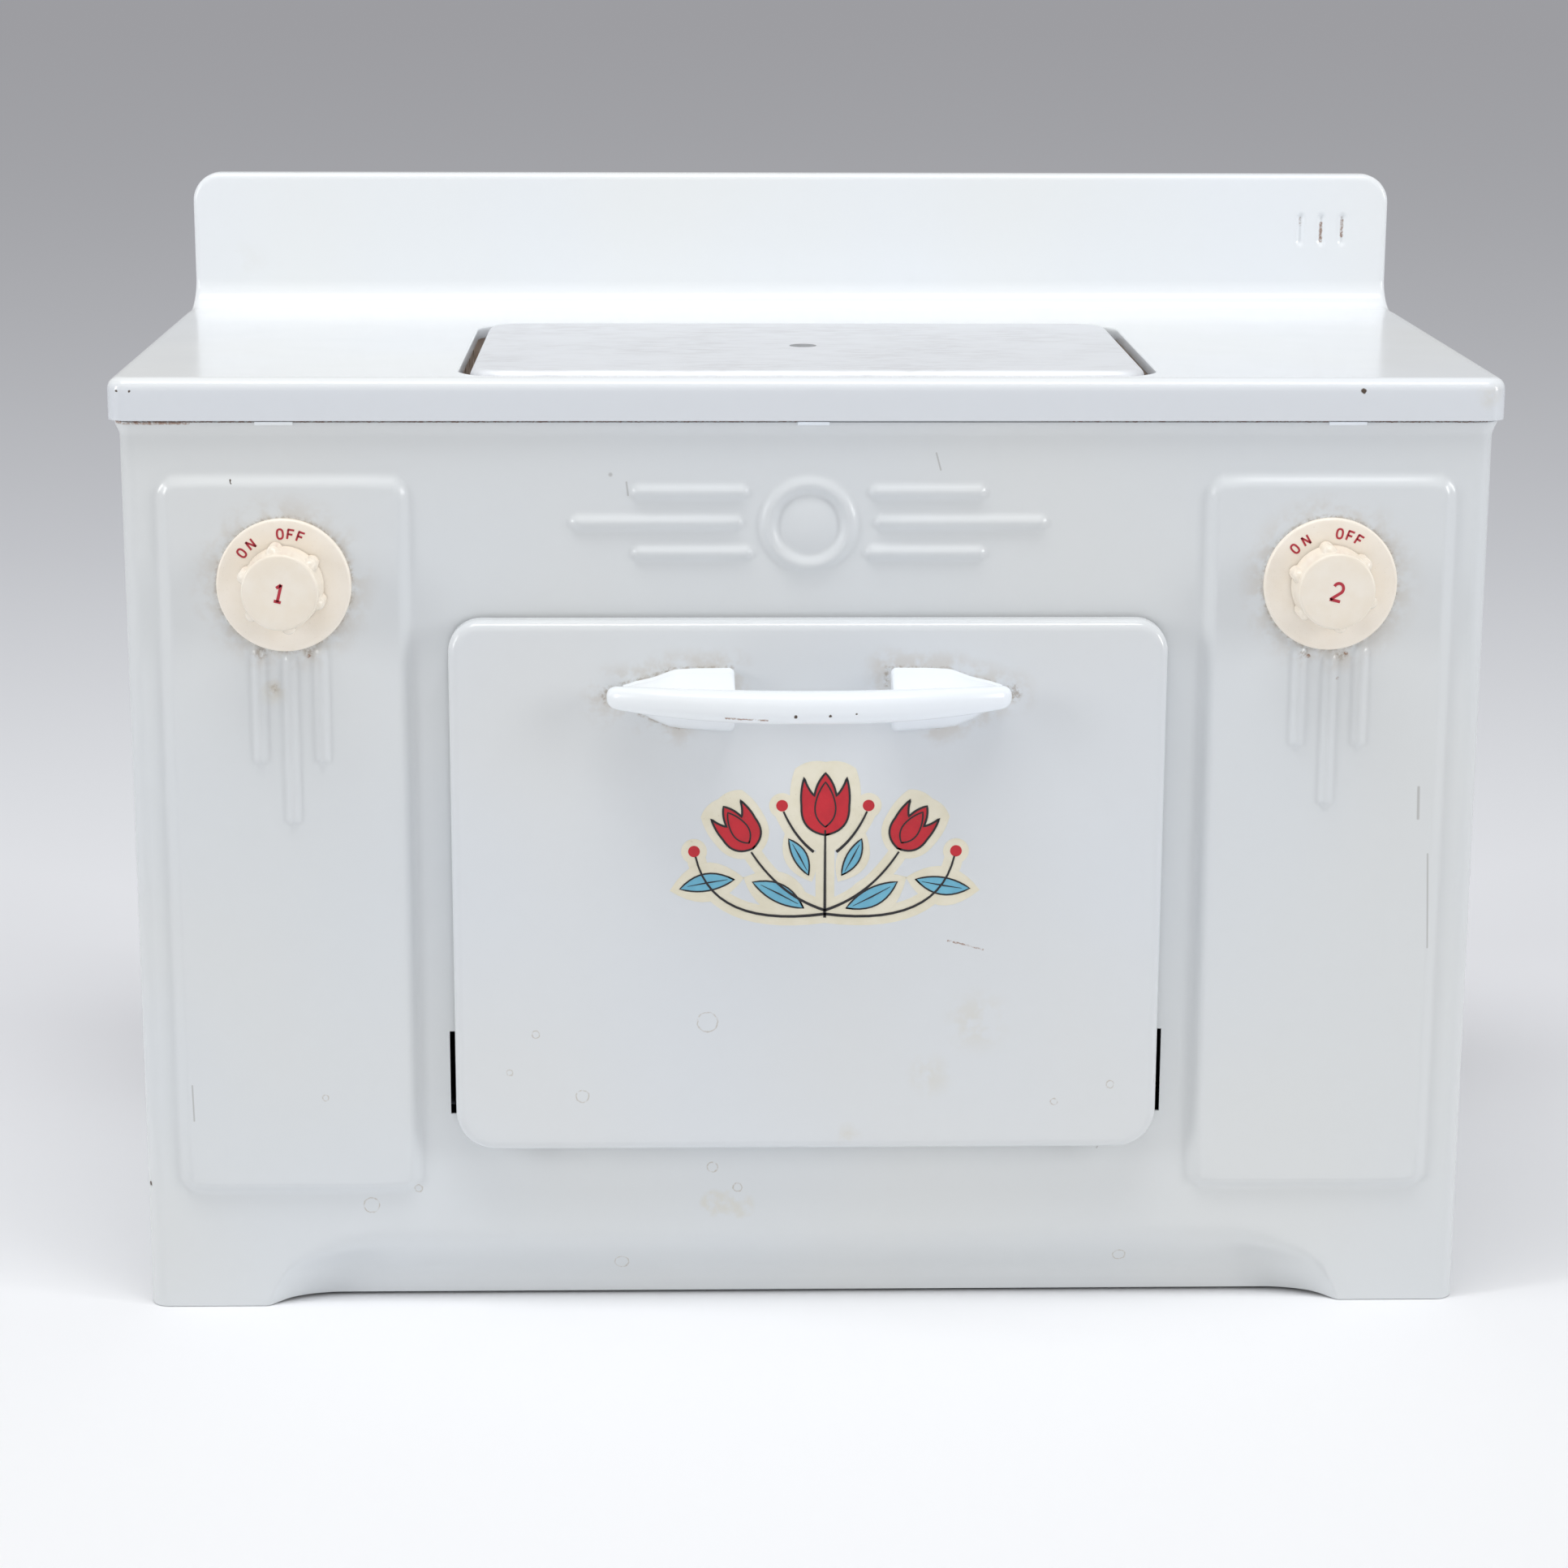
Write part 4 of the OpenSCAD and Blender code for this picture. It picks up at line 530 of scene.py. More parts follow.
def pressed_height(x, z):
    """How far the front is pressed forwards at (x, z): side panels, ring, dome, level and upright ribs."""
    side = np.abs(x)
    panel = (PANEL_X - PANEL_HALF_W, PANEL_LOW, PANEL_X + PANEL_HALF_W, PANEL_HIGH, PANEL_R)
    height = PANEL_OUT * smooth_step(-box_distance(side, z, *panel) / PANEL_SLOPE)
    radius = np.hypot(x, z - RING_Z)
    beads = np.maximum(RING_OUT * soft_bead(radius - RING_R, BEAD_HALF),
                       DOME_OUT * np.clip(1 - (radius / DOME_R) ** 2, 0, 1))
    for k, (near_end, far_end) in zip((-1, 0, 1), RIB_ENDS):
        along = np.maximum(near_end - side, side - far_end)
        beads = np.maximum(beads, RIB_OUT * rib(along, z - RIB_Z - RIB_PITCH * k, RIB_HALF))
    for hand, ends in DRIP_ENDS.items():
        for k, low in zip((-1, 0, 1), ends):
            high = DIAL_Z - math.sqrt(18.6 ** 2 - (DRIP_PITCH * k) ** 2) - 1.2
            off = x - (hand * PANEL_X + DRIP_SHIFT + DRIP_PITCH * k)
            beads = np.maximum(beads, DRIP_OUT * rib(np.maximum(low - z, z - high), off, DRIP_HALF))
    return height + beads


def toe_depth(x, z):
    """Depth of the toe space, from the way t in from its edge, which is level in the middle and an arc at
    each end. High up the edge is soft, sin^2 of t; near the floor it is a crease, 1 - (1 - t)^2."""
    side = np.abs(x) - TOE_HALF
    edge = np.where(side < 0, TOE_H - z, TOE_R - np.hypot(side, z - (TOE_H - TOE_R)))
    t = np.clip(edge / TOE_SWEEP, 0, 1)
    crease = smooth_step((17.0 - z) / 9.0) * smooth_step((side + 4.0) / 12.0)
    return TOE_DEPTH * (np.sin(t * math.pi / 2) ** 2 * (1 - crease) + (1 - (1 - t) ** 2) * crease)


# %% The outline seen from above
REAR_BEND, OVERLAP = 1.1, 169.7
arc = np.radians(np.linspace(0, 90, 6))
corner_arc = np.radians(np.linspace(0, 90, 9))
drips = [hand * PANEL_X + DRIP_SHIFT + DRIP_PITCH * k for hand in (-1, 1) for k in (-1, 0, 1)]
front_x = grid_lines(
    -(HALF_W - CORNER), HALF_W - CORNER, 5.5,
    exact=[v for window in WINDOWS for v in window[0:4:2]] + both(80.0, TOE_HALF),
    fine=near([0.0], 13.6, 0.62) + near(drips, DRIP_HALF, 0.45) + near(both(16.2, 45.0, 61.0), 2.4, 0.6)
    + near(both(105.5, 167.3), 2.5, 0.6) + near(both(81.0), 5.0, 1.2) + near(both(132.5), 16.0, 1.6))
side_y = np.concatenate([np.linspace(BACK_Y - REAR_BEND, 12.0, 14), [9.8]])[1:]
left = np.concatenate([
    [(-x, BACK_Y) for x in np.linspace(OVERLAP, HALF_W - REAR_BEND, 3)],
    [(-(HALF_W - REAR_BEND) - REAR_BEND * math.sin(a), BACK_Y - REAR_BEND + REAR_BEND * math.cos(a))
     for a in arc[1:]],
    [(-HALF_W, y) for y in side_y],
    [(-(HALF_W - CORNER) - CORNER * math.cos(a), CORNER - CORNER * math.sin(a)) for a in corner_arc]])
outline = np.concatenate([left, [(x, 0.0) for x in front_x[1:-1]], left[::-1] * (-1, 1)])
run = np.gradient(outline, axis=0)
normal = np.stack([run[:, 1], -run[:, 0]], axis=1)
normal /= lengths(normal)
is_front = (np.abs(outline[:, 0]) < HALF_W - CORNER + 0.01) & (outline[:, 1] < 1)
normal[is_front] = (0, -1)
normal[(np.abs(outline[:, 0]) > HALF_W - 0.001) & (outline[:, 1] > CORNER - 0.01)] *= (1, 0)
normal /= lengths(normal)
print("outline points:", len(outline))

# %% The strip bent round the outline
up = grid_lines(
    0.0, BODY_TOP, 5.5,
    exact=[v for window in WINDOWS for v in window[1:4:2]] + [63.0, 179.0, 242.7, 243.2, 243.8],
    fine=[(203.6, 230.6, 0.6), (FLARE_FROM, 242.7, 0.63), (0.0, 24.0, 1.0), (31.4, 37.0, 0.6)]
    + [(v - 1.9, v + 1.0, 0.5) for ends in DRIP_ENDS.values() for v in ends[:2]]
    + [(176.0, 184.5, 1.0), (58.0, 65.0, 1.0)])
rows = np.concatenate([[-2.0, -1.0], up, [BODY_TOP + 1.0, BODY_TOP + 2.0]])
U, Z = np.meshgrid(np.arange(len(outline)), rows, indexing="ij")
X, Y = outline[U, 0], outline[U, 1]
turn_in = np.where(Z < 0, -Z / 2 * FLANGE, np.where(Z > BODY_TOP, (Z - BODY_TOP) / 2 * FLANGE, 0))
level = np.clip(Z, 0.0, BODY_TOP)
flare = FLARE_OUT * smooth_step((level - FLARE_FROM) / 3.8) * smooth_step((FLARE_TO - level) / 1.3)
toe = np.where(is_front[U], toe_depth(X, level), 0.0)
press = np.where(is_front[U], pressed_height(X, level), 0.0)
lift = 0.8 * smooth_step(toe / 5.0) * np.clip(1 - level / 10, 0, 1)
strip = np.stack([X + normal[U, 0] * (flare - turn_in), Y + normal[U, 1] * (flare - turn_in) + toe - press,
                  level + lift], axis=-1).reshape(-1, 3)
flat = np.stack([np.where(is_front[U], X, 1000 + np.abs(X)), Z], axis=-1).reshape(-1, 2)
faces = grid_faces(len(outline), len(rows))
on_side = (np.abs(outline[:, 0]) > HALF_W - 0.01) & (outline[:, 1] > 9.7)
low_row, column = faces % len(rows), faces // len(rows)
in_flange = (low_row.min(axis=1) < 2) | (low_row.max(axis=1) > len(rows) - 3)
faces = faces[~in_flange | on_side[column].all(axis=1)]
openings = [lambda x, z, window=window: box_distance(x, z, *window) for window in WINDOWS]
openings += [lambda x, z, hand=hand: np.hypot(x - hand * PANEL_X, z - DIAL_Z) - BUSH_HOLE
             for hand in (-1, 1)]
for opening in openings:
    moved, faces, border = cut_opening(flat.copy(), faces, opening)
    strip[border, 0], strip[border, 2] = moved[border].T
strip, faces = drop_unused(strip, faces)
make_piece("body_sheet", strip, faces, "stove", "enamel_body", body_enamel, ("body_shell",), thickness=SHEET)

# %% [markdown]
# ## The cooktop
# Cooktop and backsplash are one sheet. It is drawn flat, with its edge turned down all round, and then
# bent up along the hollow between them, just as the real sheet was folded over a rounded bar.

# %% Sizes of the cooktop
TOP_Z, TOP_HALF, OVERHANG, SKIRT = 254.2, 181.0, 2.5, 10.9
BEND_Y, BEND_R, SPLASH_TOP, SPLASH_HALF, REAR = 157.5, 8.0, 293.6, 179.0, 170.5
BEND_END = BEND_Y + BEND_R * math.pi / 2
FLAT_END = BEND_END + SPLASH_TOP - (TOP_Z + BEND_R)
CUT = (-91.2, 3.0, 91.2, 116.4, 12.0)
CORNER_TURN = math.atan2(REAR - BEND_Y, BEND_R + SKIRT)


def bend_up(points):
    """Bends a flat sheet, given as (x, y, depth under the surface): up to the bend it stays level, then it
    follows a circle of the bend's radius, and beyond a quarter turn it stands upright."""
    x, y, depth = points.T
    angle = np.clip((y - BEND_Y) / BEND_R, 0, math.pi / 2)
    r = BEND_R + depth
    before, beyond = np.minimum(y - BEND_Y, 0), np.maximum(y - BEND_END, 0)
    y, z = BEND_Y + before + r * np.sin(angle), TOP_Z + BEND_R - r * np.cos(angle) + beyond
    return np.column_stack([x, y, z])


def skirt_depth(y):
    """Depth of the turned edge: level underneath as far as the rear, then flush with the rear."""
    angle = np.clip((y - BEND_Y) / BEND_R, 0, math.pi / 2)
    under = (BEND_R + SKIRT) / np.maximum(np.cos(angle), 1e-6) - BEND_R
    behind = (REAR - BEND_Y) / np.maximum(np.sin(angle), 1e-6) - BEND_R
    return np.minimum(under, behind)


def standing(y):
    """0 on the level top, 1 on the backsplash, smooth through the bend between them."""
    return smooth_step((y - BEND_Y + 6) / (BEND_END - BEND_Y + 6))


# %% Cooktop sheet
EDGE, SPLASH_EDGE = 3.2, 1.8
low, high = (-TOP_HALF + EDGE, -OVERHANG + EDGE), (TOP_HALF - EDGE, FLAT_END - SPLASH_EDGE)
radii = (5.5 - EDGE, 8.5 - SPLASH_EDGE)
FLUTES, FLUTE_Z, FLUTE_RUN, FLUTE_HALF, FLUTE_OUT = (152.7, 159.0, 165.3), 277.2, 3.6, 1.6, 0.75
flute_y = BEND_END + FLUTE_Z - (TOP_Z + BEND_R)
xs = grid_lines(low[0], high[0], 6.0, exact=both(CUT[2], high[0] - 2.3),
                fine=[(150.6, 167.4, 0.4), (-92.5, -78.0, 1.3), (78.0, 92.5, 1.3), (171.1, 177.8, 0.8),
                      (-177.8, -171.1, 0.8)])
ys = grid_lines(low[1], high[1], 6.0,
                exact=[CUT[1], CUT[3], BEND_Y, BEND_Y + CORNER_TURN * BEND_R, BEND_END, high[1] - 6.7,
                       low[1] + 2.3],
                fine=[(0.7, 16.0, 1.15), (103.0, 118.0, 1.3), (BEND_Y, BEND_END, 0.9),
                      (flute_y - 6, flute_y + 6, 0.6), (192.9, 199.6, 0.8)])
flat, faces, rim_edges = plate(low, high, radii, xs, ys)
flat, faces, border = cut_opening(flat, faces, lambda x, y: box_distance(x, y, *CUT))
lip_edges = open_edges(faces)
lip_edges = lip_edges[np.isin(lip_edges, border).all(axis=1)]
edge_radius = EDGE + (SPLASH_EDGE - EDGE) * standing(flat[:, 1])
points, faces = turned_edge(flat, faces, rim_edges, outward(flat, low, high, radii), edge_radius,
                            skirt_depth(flat[:, 1]), np.linspace(15, 90, 6), (0.35, 0.7, 1.0))
slope = slope_of(lambda x, y: box_distance(x, y, *CUT), points[:, 0], points[:, 1])
inward = -slope / lengths(slope, 1e-6)
points, faces = carry_rows(points, faces, lip_edges, inward,
                           ((-0.35, 0.05), (-0.1, 0.3), (0.0, 0.9), (0.0, 3.0)))
lip = np.unique(lip_edges)
points[lip, :2] -= inward[lip] * 0.8
near_side = np.clip((np.abs(points[:, 0]) - 150) / (high[0] - 150), 0, 1)
narrower = (TOP_HALF - SPLASH_HALF - EDGE + SPLASH_EDGE) * standing(points[:, 1]) * near_side
points[:, 0] -= np.sign(points[:, 0]) * narrower
flutes = np.zeros(len(points))
for flute_x in FLUTES:
    along = np.abs(points[:, 1] - flute_y) - FLUTE_RUN
    flutes = np.maximum(flutes, FLUTE_OUT * rib(along, points[:, 0] - flute_x, FLUTE_HALF))
points[:, 2] += np.where(points[:, 2] < 0.001, flutes, 0)
sheet, faces = drop_unused(bend_up(points), faces)
make_piece("cooktop_sheet", sheet, faces, "stove", "enamel_white", white_enamel, ("cooktop",),
           thickness=SHEET)

# %% [markdown]
# Three small tabs hang from the skirt and hook behind the body's rim. On the real stove they are what
# holds the cooktop on. Each is a short strip carried along a path that curls under.

# %% Strips and tubes along a path
def weld(points, faces):
    """Joins points that lie within a thousandth of a millimetre, and drops corners that fall together."""
    key = np.round(np.asarray(points) * 1000).astype(np.int64)
    _, first, inverse = np.unique(key, axis=0, return_index=True, return_inverse=True)
    renumbered = [list(dict.fromkeys(inverse.reshape(-1)[list(f)].tolist())) for f in faces]
    return np.asarray(points)[first], [f for f in renumbered if len(f) > 2]


def volume(points, faces):
    """Volume inside a closed surface, six times: the sum of p0 . (p1 x p2) over the fan of each face. It
    is negative when the faces look inwards."""
    fans = np.array([(f[0], f[i], f[i + 1]) for f in faces for i in range(1, len(f) - 1)])
    a, b, c = (points[fans[:, i]] - points.mean(axis=0) for i in range(3))
    return float(np.einsum("ij,ij->i", a, np.cross(b, c)).sum())


def carried(path, section, closed=False):
    """Surface of a closed section carried along a path: section[i] holds the points of loop i as
    offsets, and each loop is added to its path point. Open ends get a flat cap."""
    loops = np.asarray(path)[:, None, :] + np.asarray(section)
    count, around = loops.shape[:2]
    c, r = np.meshgrid(np.arange(count if closed else count - 1), np.arange(around), indexing="ij")
    n, s = (c + 1) % count, (r + 1) % around
    corners = [c * around + r, n * around + r, n * around + s, c * around + s]
    faces = np.stack(corners, axis=-1).reshape(-1, 4).tolist()
    points = loops.reshape(-1, 3)
    if not closed:
        faces += [list(range(around)), list(range((count - 1) * around, count * around))[::-1]]
    if volume(points, faces) < 0:
        faces = [f[::-1] for f in faces]
    return points, faces


def joined(parts):
    """Several surfaces as one list of points and one of faces."""
    points, faces, start = [], [], 0
    for p, f in parts:
        points.append(p)
        faces += [[start + i for i in face] for face in f]
        start += len(p)
    return np.concatenate(points), faces


# %% Skirt tabs
TAB_Y, TAB_HALF_T, CURL = -1.35, 0.35, 0.8
tab_path = np.array([(0, TAB_Y, 242.98), (0, TAB_Y, 242.80)]
                    + [(0, TAB_Y + CURL * (1 - math.cos(a)), 242.75 - 0.5 * math.sin(a))
                       for a in np.radians(np.linspace(0, 75, 6))])
tab_run = np.gradient(tab_path, axis=0)
tab_side = np.stack([np.zeros(len(tab_run)), -tab_run[:, 2], tab_run[:, 1]], axis=1)
tab_side *= TAB_HALF_T / np.linalg.norm(tab_side, axis=1)[:, None]
tab_parts = []
for tab_x, tab_w in ((-138.0, 9.8), (1.05, 8.2), (139.65, 9.8)):
    corners = [(0.5 * tab_w * sx, 0, 0) + tab_side * st for sx, st in ((-1, -1), (1, -1), (1, 1), (-1, 1))]
    tab_parts.append(carried(tab_path + (tab_x, 0, 0), np.stack(corners, axis=1)))
# The tabs take the whiter handle enamel, not the cooktop's greyed skirt tone: a painted highlight for the
# light they catch as they curl under.
make_piece("skirt_tabs", *joined(tab_parts), "stove", "enamel_white", handle_enamel)

# %% [markdown]
# ## The door
# The door is a shallow pan: a flat front with its edge rolled back, more rounded at the two lower
# corners. Two notches in its lower edge leave room for the hinges.

# %% Door sheet
DOOR_HALF, DOOR_LOW, DOOR_HIGH, DOOR_FACE, DOOR_T, DOOR_EDGE = 94.1, 46.5, 191.5, -7.0, 6.0, 2.8
NOTCH_AT, NOTCH_HALF, NOTCH_FROM = 70.0, 2.6, 2.15
low, high = (-DOOR_HALF + DOOR_EDGE, DOOR_LOW + DOOR_EDGE), (DOOR_HALF - DOOR_EDGE, DOOR_HIGH - DOOR_EDGE)
xs = grid_lines(low[0], high[0], 8.0, exact=both(NOTCH_AT - NOTCH_HALF, NOTCH_AT + NOTCH_HALF),
                fine=[(low[0], low[0] + 10, 1.0), (high[0] - 10, high[0], 1.0)])
zs = grid_lines(low[1], high[1], 8.0, fine=[(low[1], low[1] + 10, 1.0), (high[1] - 6, high[1], 0.8)])
notch_turn = math.degrees(math.acos(1 - NOTCH_FROM / DOOR_EDGE))
points, faces = pan(low, high, (10.5 - DOOR_EDGE, 8.5 - DOOR_EDGE), xs, zs, DOOR_EDGE, DOOR_T,
                    [12, 24, 36, 48, 62, notch_turn, 90], (0.5, 1.0))
middle = points[faces].mean(axis=1)
notched = (np.abs(np.abs(middle[:, 0]) - NOTCH_AT) < NOTCH_HALF) & (middle[:, 1] < DOOR_LOW + 2) \
    & (points[faces][:, :, 2].min(axis=1) > NOTCH_FROM - 0.02)
points, faces = drop_unused(points[:, [0, 2, 1]] + (0, DOOR_FACE, 0), faces[~notched])
make_piece("door_sheet", points, faces, "door", "enamel_white", door_enamel, ("door_shell",), thickness=SHEET)

# %% [markdown]
# ## The griddle
# The griddle is a plate of bare aluminium, worn dull by wiping. Its brushed streaks run from side to
# side, so the noise behind its roughness and bump is stretched along X.

# %% Bare aluminium
def brushed(name, colour, dark, streak_mm, roughness, bump, tint=0.5, metal=1.0, squeeze=(1.0, 1.0, 1.0)):
    """Metal with streaks: noise on coordinates squeezed along the brushing, which drives tone and gloss.
    metal below 1 stands for a dull film of oxide over the bare metal."""
    finish, tree, output, place = new_finish(name)
    drawn = add(tree, "ShaderNodeMapping", {"Vector": place, "Scale": squeeze}).outputs[0]
    streak = noise(tree, drawn, streak_mm, 4.0, 0.65)
    cloud = noise(tree, place, 22.0, 3.0)
    tone = tinted(tree, linear(colour), dark, ramp(tree, streak, 0.35, 0.70), ramp(tree, cloud, 0.25, 0.70),
                  tint)
    rough = spread(tree, streak, roughness - 0.08, roughness + 0.12)
    surface(tree, output, tone, rough, streak, bump, 0.15, Metallic=metal)
    return finish


griddle_metal = brushed("dull_aluminium_griddle", "#F3F6FA", "#D9DADD", 2.0, 0.60, 0.10, 0.6, metal=0.55,
                        squeeze=(0.25, 1.0, 1.0))
stud_metal = brushed("worn_steel_stud", "#B9BABD", "#8E8D8F", 1.8, 0.42, 0.12)

# %% Griddle plate
PLATE_HALF, PLATE_MID, PLATE_DEEP, PLATE_TOP, PLATE_EDGE, PLATE_T = 88.3, 59.7, 53.8, 255.2, 2.4, 2.0
PLATE_RIM, STUD_HOLE = 6.0, 3.75
low = (-PLATE_HALF + PLATE_EDGE, PLATE_MID - PLATE_DEEP + PLATE_EDGE)
high = (PLATE_HALF - PLATE_EDGE, PLATE_MID + PLATE_DEEP - PLATE_EDGE)
xs, ys = (grid_lines(a, b, 8.0, fine=[(a, a + 7, 1.0), (b - 7, b, 1.0), (mid - 5, mid + 5, 0.8)])
          for a, b, mid in zip(low, high, (0, PLATE_MID)))
points, faces = pan(low, high, (9.25 - PLATE_EDGE,) * 2, xs, ys, PLATE_EDGE, PLATE_RIM,
                    np.linspace(15, 90, 6), (1.0,), lambda x, y: np.hypot(x, y - PLATE_MID) - STUD_HOLE)
points, faces = drop_unused(points * (1, 1, -1) + (0, 0, PLATE_TOP), faces)
make_piece("griddle_sheet", points, faces, "stove", "griddle_metal", griddle_metal, ("griddle_plate",),
           thickness=PLATE_T - 0.15)

# %% [markdown]
# ## Dials and knobs
# Both are moulded in cream plastic that has yellowed with age. A dial is a profile turned round the
# switch's axis. A knob is the same, but its radius also swells into six round grips.

# %% Aged cream plastic
def plastic(name, colour, aged, roughness=0.28, grain_mm=9.0, soil=0.0):
    """Moulded plastic: colour drifting to its aged tone, faint grime in fine spots, satin gloss."""
    finish, tree, output, place = new_finish(name)
    tone = tinted(tree, linear(colour), aged, ramp(tree, noise(tree, place, grain_mm, 3.0), 0.35, 0.7), 0.6)
    if soil:
        spots = ramp(tree, noise(tree, place, 0.8, 3.0, 0.7), 0.66, 0.74)
        tone = tinted(tree, tone, "#A08B68", spots, soil)
    fine = noise(tree, place, 0.6, 2.0)
    rough = spread(tree, fine, roughness - 0.05, roughness + 0.08)
    surface(tree, output, tone, rough, fine, 0.08, 0.1, IOR=1.5)
    return finish


dial_plastic = plastic("cream_urea_plastic_dial", "#F8F0E4", "#F2E7D6", soil=0.2)
knob_plastic = plastic("cream_urea_plastic_knob", "#F4ECDF", "#EEE2CF", 0.22, soil=0.12)
red_print = plastic("red_enamel_print", "#B8303F", "#A82A38", 0.4)


# %% Turned pieces
def turned_piece(profile, count, swell=None, wrap=False):
    """Profile of (radius, forward) turned round the forward axis; swell(angle, radius, forward) may
    change the radius. Where the radius is nothing the points are welded into a pole."""
    profile = np.asarray(profile, float)
    angle = np.arange(count) * 2 * math.pi / count
    a, k = np.meshgrid(angle, np.arange(len(profile)), indexing="ij")
    r, t = profile[k, 0], profile[k, 1]
    if swell:
        r = swell(a, r, t)
    points = np.stack([r * np.cos(a), -t, r * np.sin(a)], axis=-1).reshape(-1, 3)
    faces = grid_faces(count, len(profile), wrap=True)
    if wrap:
        first = np.arange(count) * len(profile)
        last = first + len(profile) - 1
        closing = np.stack([last, np.roll(last, -1), np.roll(first, -1), first], axis=1)
        faces = np.concatenate([faces, closing])
    return weld(points, faces[:, ::-1])


def edge_arc(r, t, radius=0.7):
    """Profile points of a rounded outer edge whose outside is at radius r and whose face is at t."""
    return [(r - radius + radius * math.cos(a), t - radius + radius * math.sin(a))
            for a in np.radians(np.linspace(0, 90, 5))]


# %% Dials
SIDES = ((-1, "left"), (1, "right"))
DIAL_BACK, DIAL_R, DIAL_T = -1.8, 17.5, 1.8
dial_profile = [(BUSH_HOLE, 0.0), (DIAL_R - 0.3, 0.0), (DIAL_R, 0.3)] + edge_arc(DIAL_R, DIAL_T) \
    + [(16.0, DIAL_T), (BUSH_HOLE, DIAL_T)]
dial_points, dial_faces = turned_piece(dial_profile, 128, wrap=True)
for hand, side in SIDES:
    make_piece("dial_face_" + side, dial_points + (hand * PANEL_X, DIAL_BACK, DIAL_Z), dial_faces, "stove",
               "dial_plastic", dial_plastic, ("dial_plate_" + side,))

# %% Knobs
KNOB_BACK, KNOB_H, GRIPS, GRIP_R, GRIP_AT, GRIP_TOP, FIRST_GRIP = -4.0, 10.0, 6, 1.85, 9.9, 6.0, 40.0
BORE_R, BORE_TOP, HOLLOW_R, HOLLOW_TOP, FOOT_R, CROWN_R = 3.02, 8.0, 7.6, 3.2, 10.55, 9.95


def grips(angle, radius, forward):
    """Six round grips: where the ray at an angle d from the nearest grip meets its circle, the radius is
    at cos d + sqrt(grip^2 - (at sin d)^2); above the grip's straight part its circle shrinks like a ball."""
    pitch = 2 * math.pi / GRIPS
    d = (angle - math.radians(FIRST_GRIP) + pitch / 2) % pitch - pitch / 2
    size = np.sqrt(np.maximum(GRIP_R ** 2 - np.maximum(forward - GRIP_TOP, 0) ** 2, 0))
    inside = size ** 2 - (GRIP_AT * np.sin(d)) ** 2
    reach = np.where(inside > 0, GRIP_AT * np.cos(d) + np.sqrt(np.maximum(inside, 0)), 0)
    return np.where(radius > 9.4, np.maximum(radius, reach), radius)


slope_t = np.concatenate([np.linspace(0.0, 6.0, 6), np.linspace(6.3, 7.9, 7), [8.6]])
knob_profile = [(0.0, BORE_TOP), (BORE_R, BORE_TOP), (BORE_R, HOLLOW_TOP), (HOLLOW_R, HOLLOW_TOP),
                (HOLLOW_R, 0.0)] + [(FOOT_R - 0.6 * t / 9.6, t) for t in slope_t] \
    + edge_arc(CROWN_R, KNOB_H - 0.05) + [(6.0, KNOB_H), (0.0, KNOB_H)]
knob_points, knob_faces = turned_piece(knob_profile, 180, grips)
for hand, side in SIDES:
    make_piece("knob_cap_" + side, knob_points + (hand * PANEL_X, KNOB_BACK, DIAL_Z), knob_faces,
               "knob_" + side, "knob_plastic", knob_plastic, ("knob_" + side,), sharp=40.0)

# %% [markdown]
# ## Lettering
# The dials carry the two switch positions, and each knob its number. Every letter is drawn as strokes,
# the way a sign writer makes it: a line with a width, raised by the thickness of the ink.

# %% Strokes
def stroke(path, width, lift, base=0.0):
    """Band of ink along a line in a plane: at each point two edges, half a width to the left and right of
    the line's direction, at the base and at the lift. Widths of nothing give pointed ends."""
    path = np.asarray(path, float)
    run = np.gradient(path, axis=0)
    side = np.stack([-run[:, 1], run[:, 0]], axis=1)
    side = side / lengths(side) * (np.asarray(width) / 2).reshape(-1, 1)
    ground = np.stack([path[:, 0], np.full(len(path), -base), path[:, 1]], axis=1)
    rise = np.array([0.0, -lift, 0.0])
    offset = np.stack([side[:, 0], np.zeros(len(path)), side[:, 1]], axis=1)
    return weld(*carried(ground, np.stack([-offset, -offset + rise, offset + rise, offset], axis=1)))


oval = np.linspace(0, 2 * math.pi, 33)
ring_path = np.stack([0.5 + 0.5 * np.sign(np.cos(oval)) * np.abs(np.cos(oval)) ** 0.75,
                      0.5 + 0.5 * np.sign(np.sin(oval)) * np.abs(np.sin(oval)) ** 0.85], axis=1)
bow = [(0.5 + 0.48 * math.cos(a), 0.70 + 0.30 * math.sin(a)) for a in np.radians(np.linspace(165, -38, 14))]
GLYPHS = {"O": [ring_path],
          "N": [[(0, 0), (0, 1)], [(0, 1), (1, 0)], [(1, 0), (1, 1)]],
          "F": [[(0, 0), (0, 1)], [(-0.12, 1), (1, 1)], [(0, 0.52), (0.8, 0.52)]],
          "1": [[(0.5, 0), (0.5, 1)], [(0.1, 0.74), (0.5, 0.98)], [(0.15, 0), (0.85, 0)]],
          "2": [bow + [(0.0, 0.0)], [(-0.06, 0), (1.0, 0)]]}


def lettering(glyph, centre, up_angle, height, width, ink, lift=0.06):
    """Strokes of one letter, centred at a point and turned so that its top points along the angle."""
    up = np.array([math.cos(up_angle), math.sin(up_angle)])
    right = np.array([up[1], -up[0]])
    parts = []
    for path in GLYPHS[glyph]:
        across, along = (np.asarray(path, float) - 0.5).T[:, :, None]
        placed = np.asarray(centre) + across * (width - ink) * right + along * (height - ink) * up
        parts.append(stroke(placed, ink, lift))
    return parts


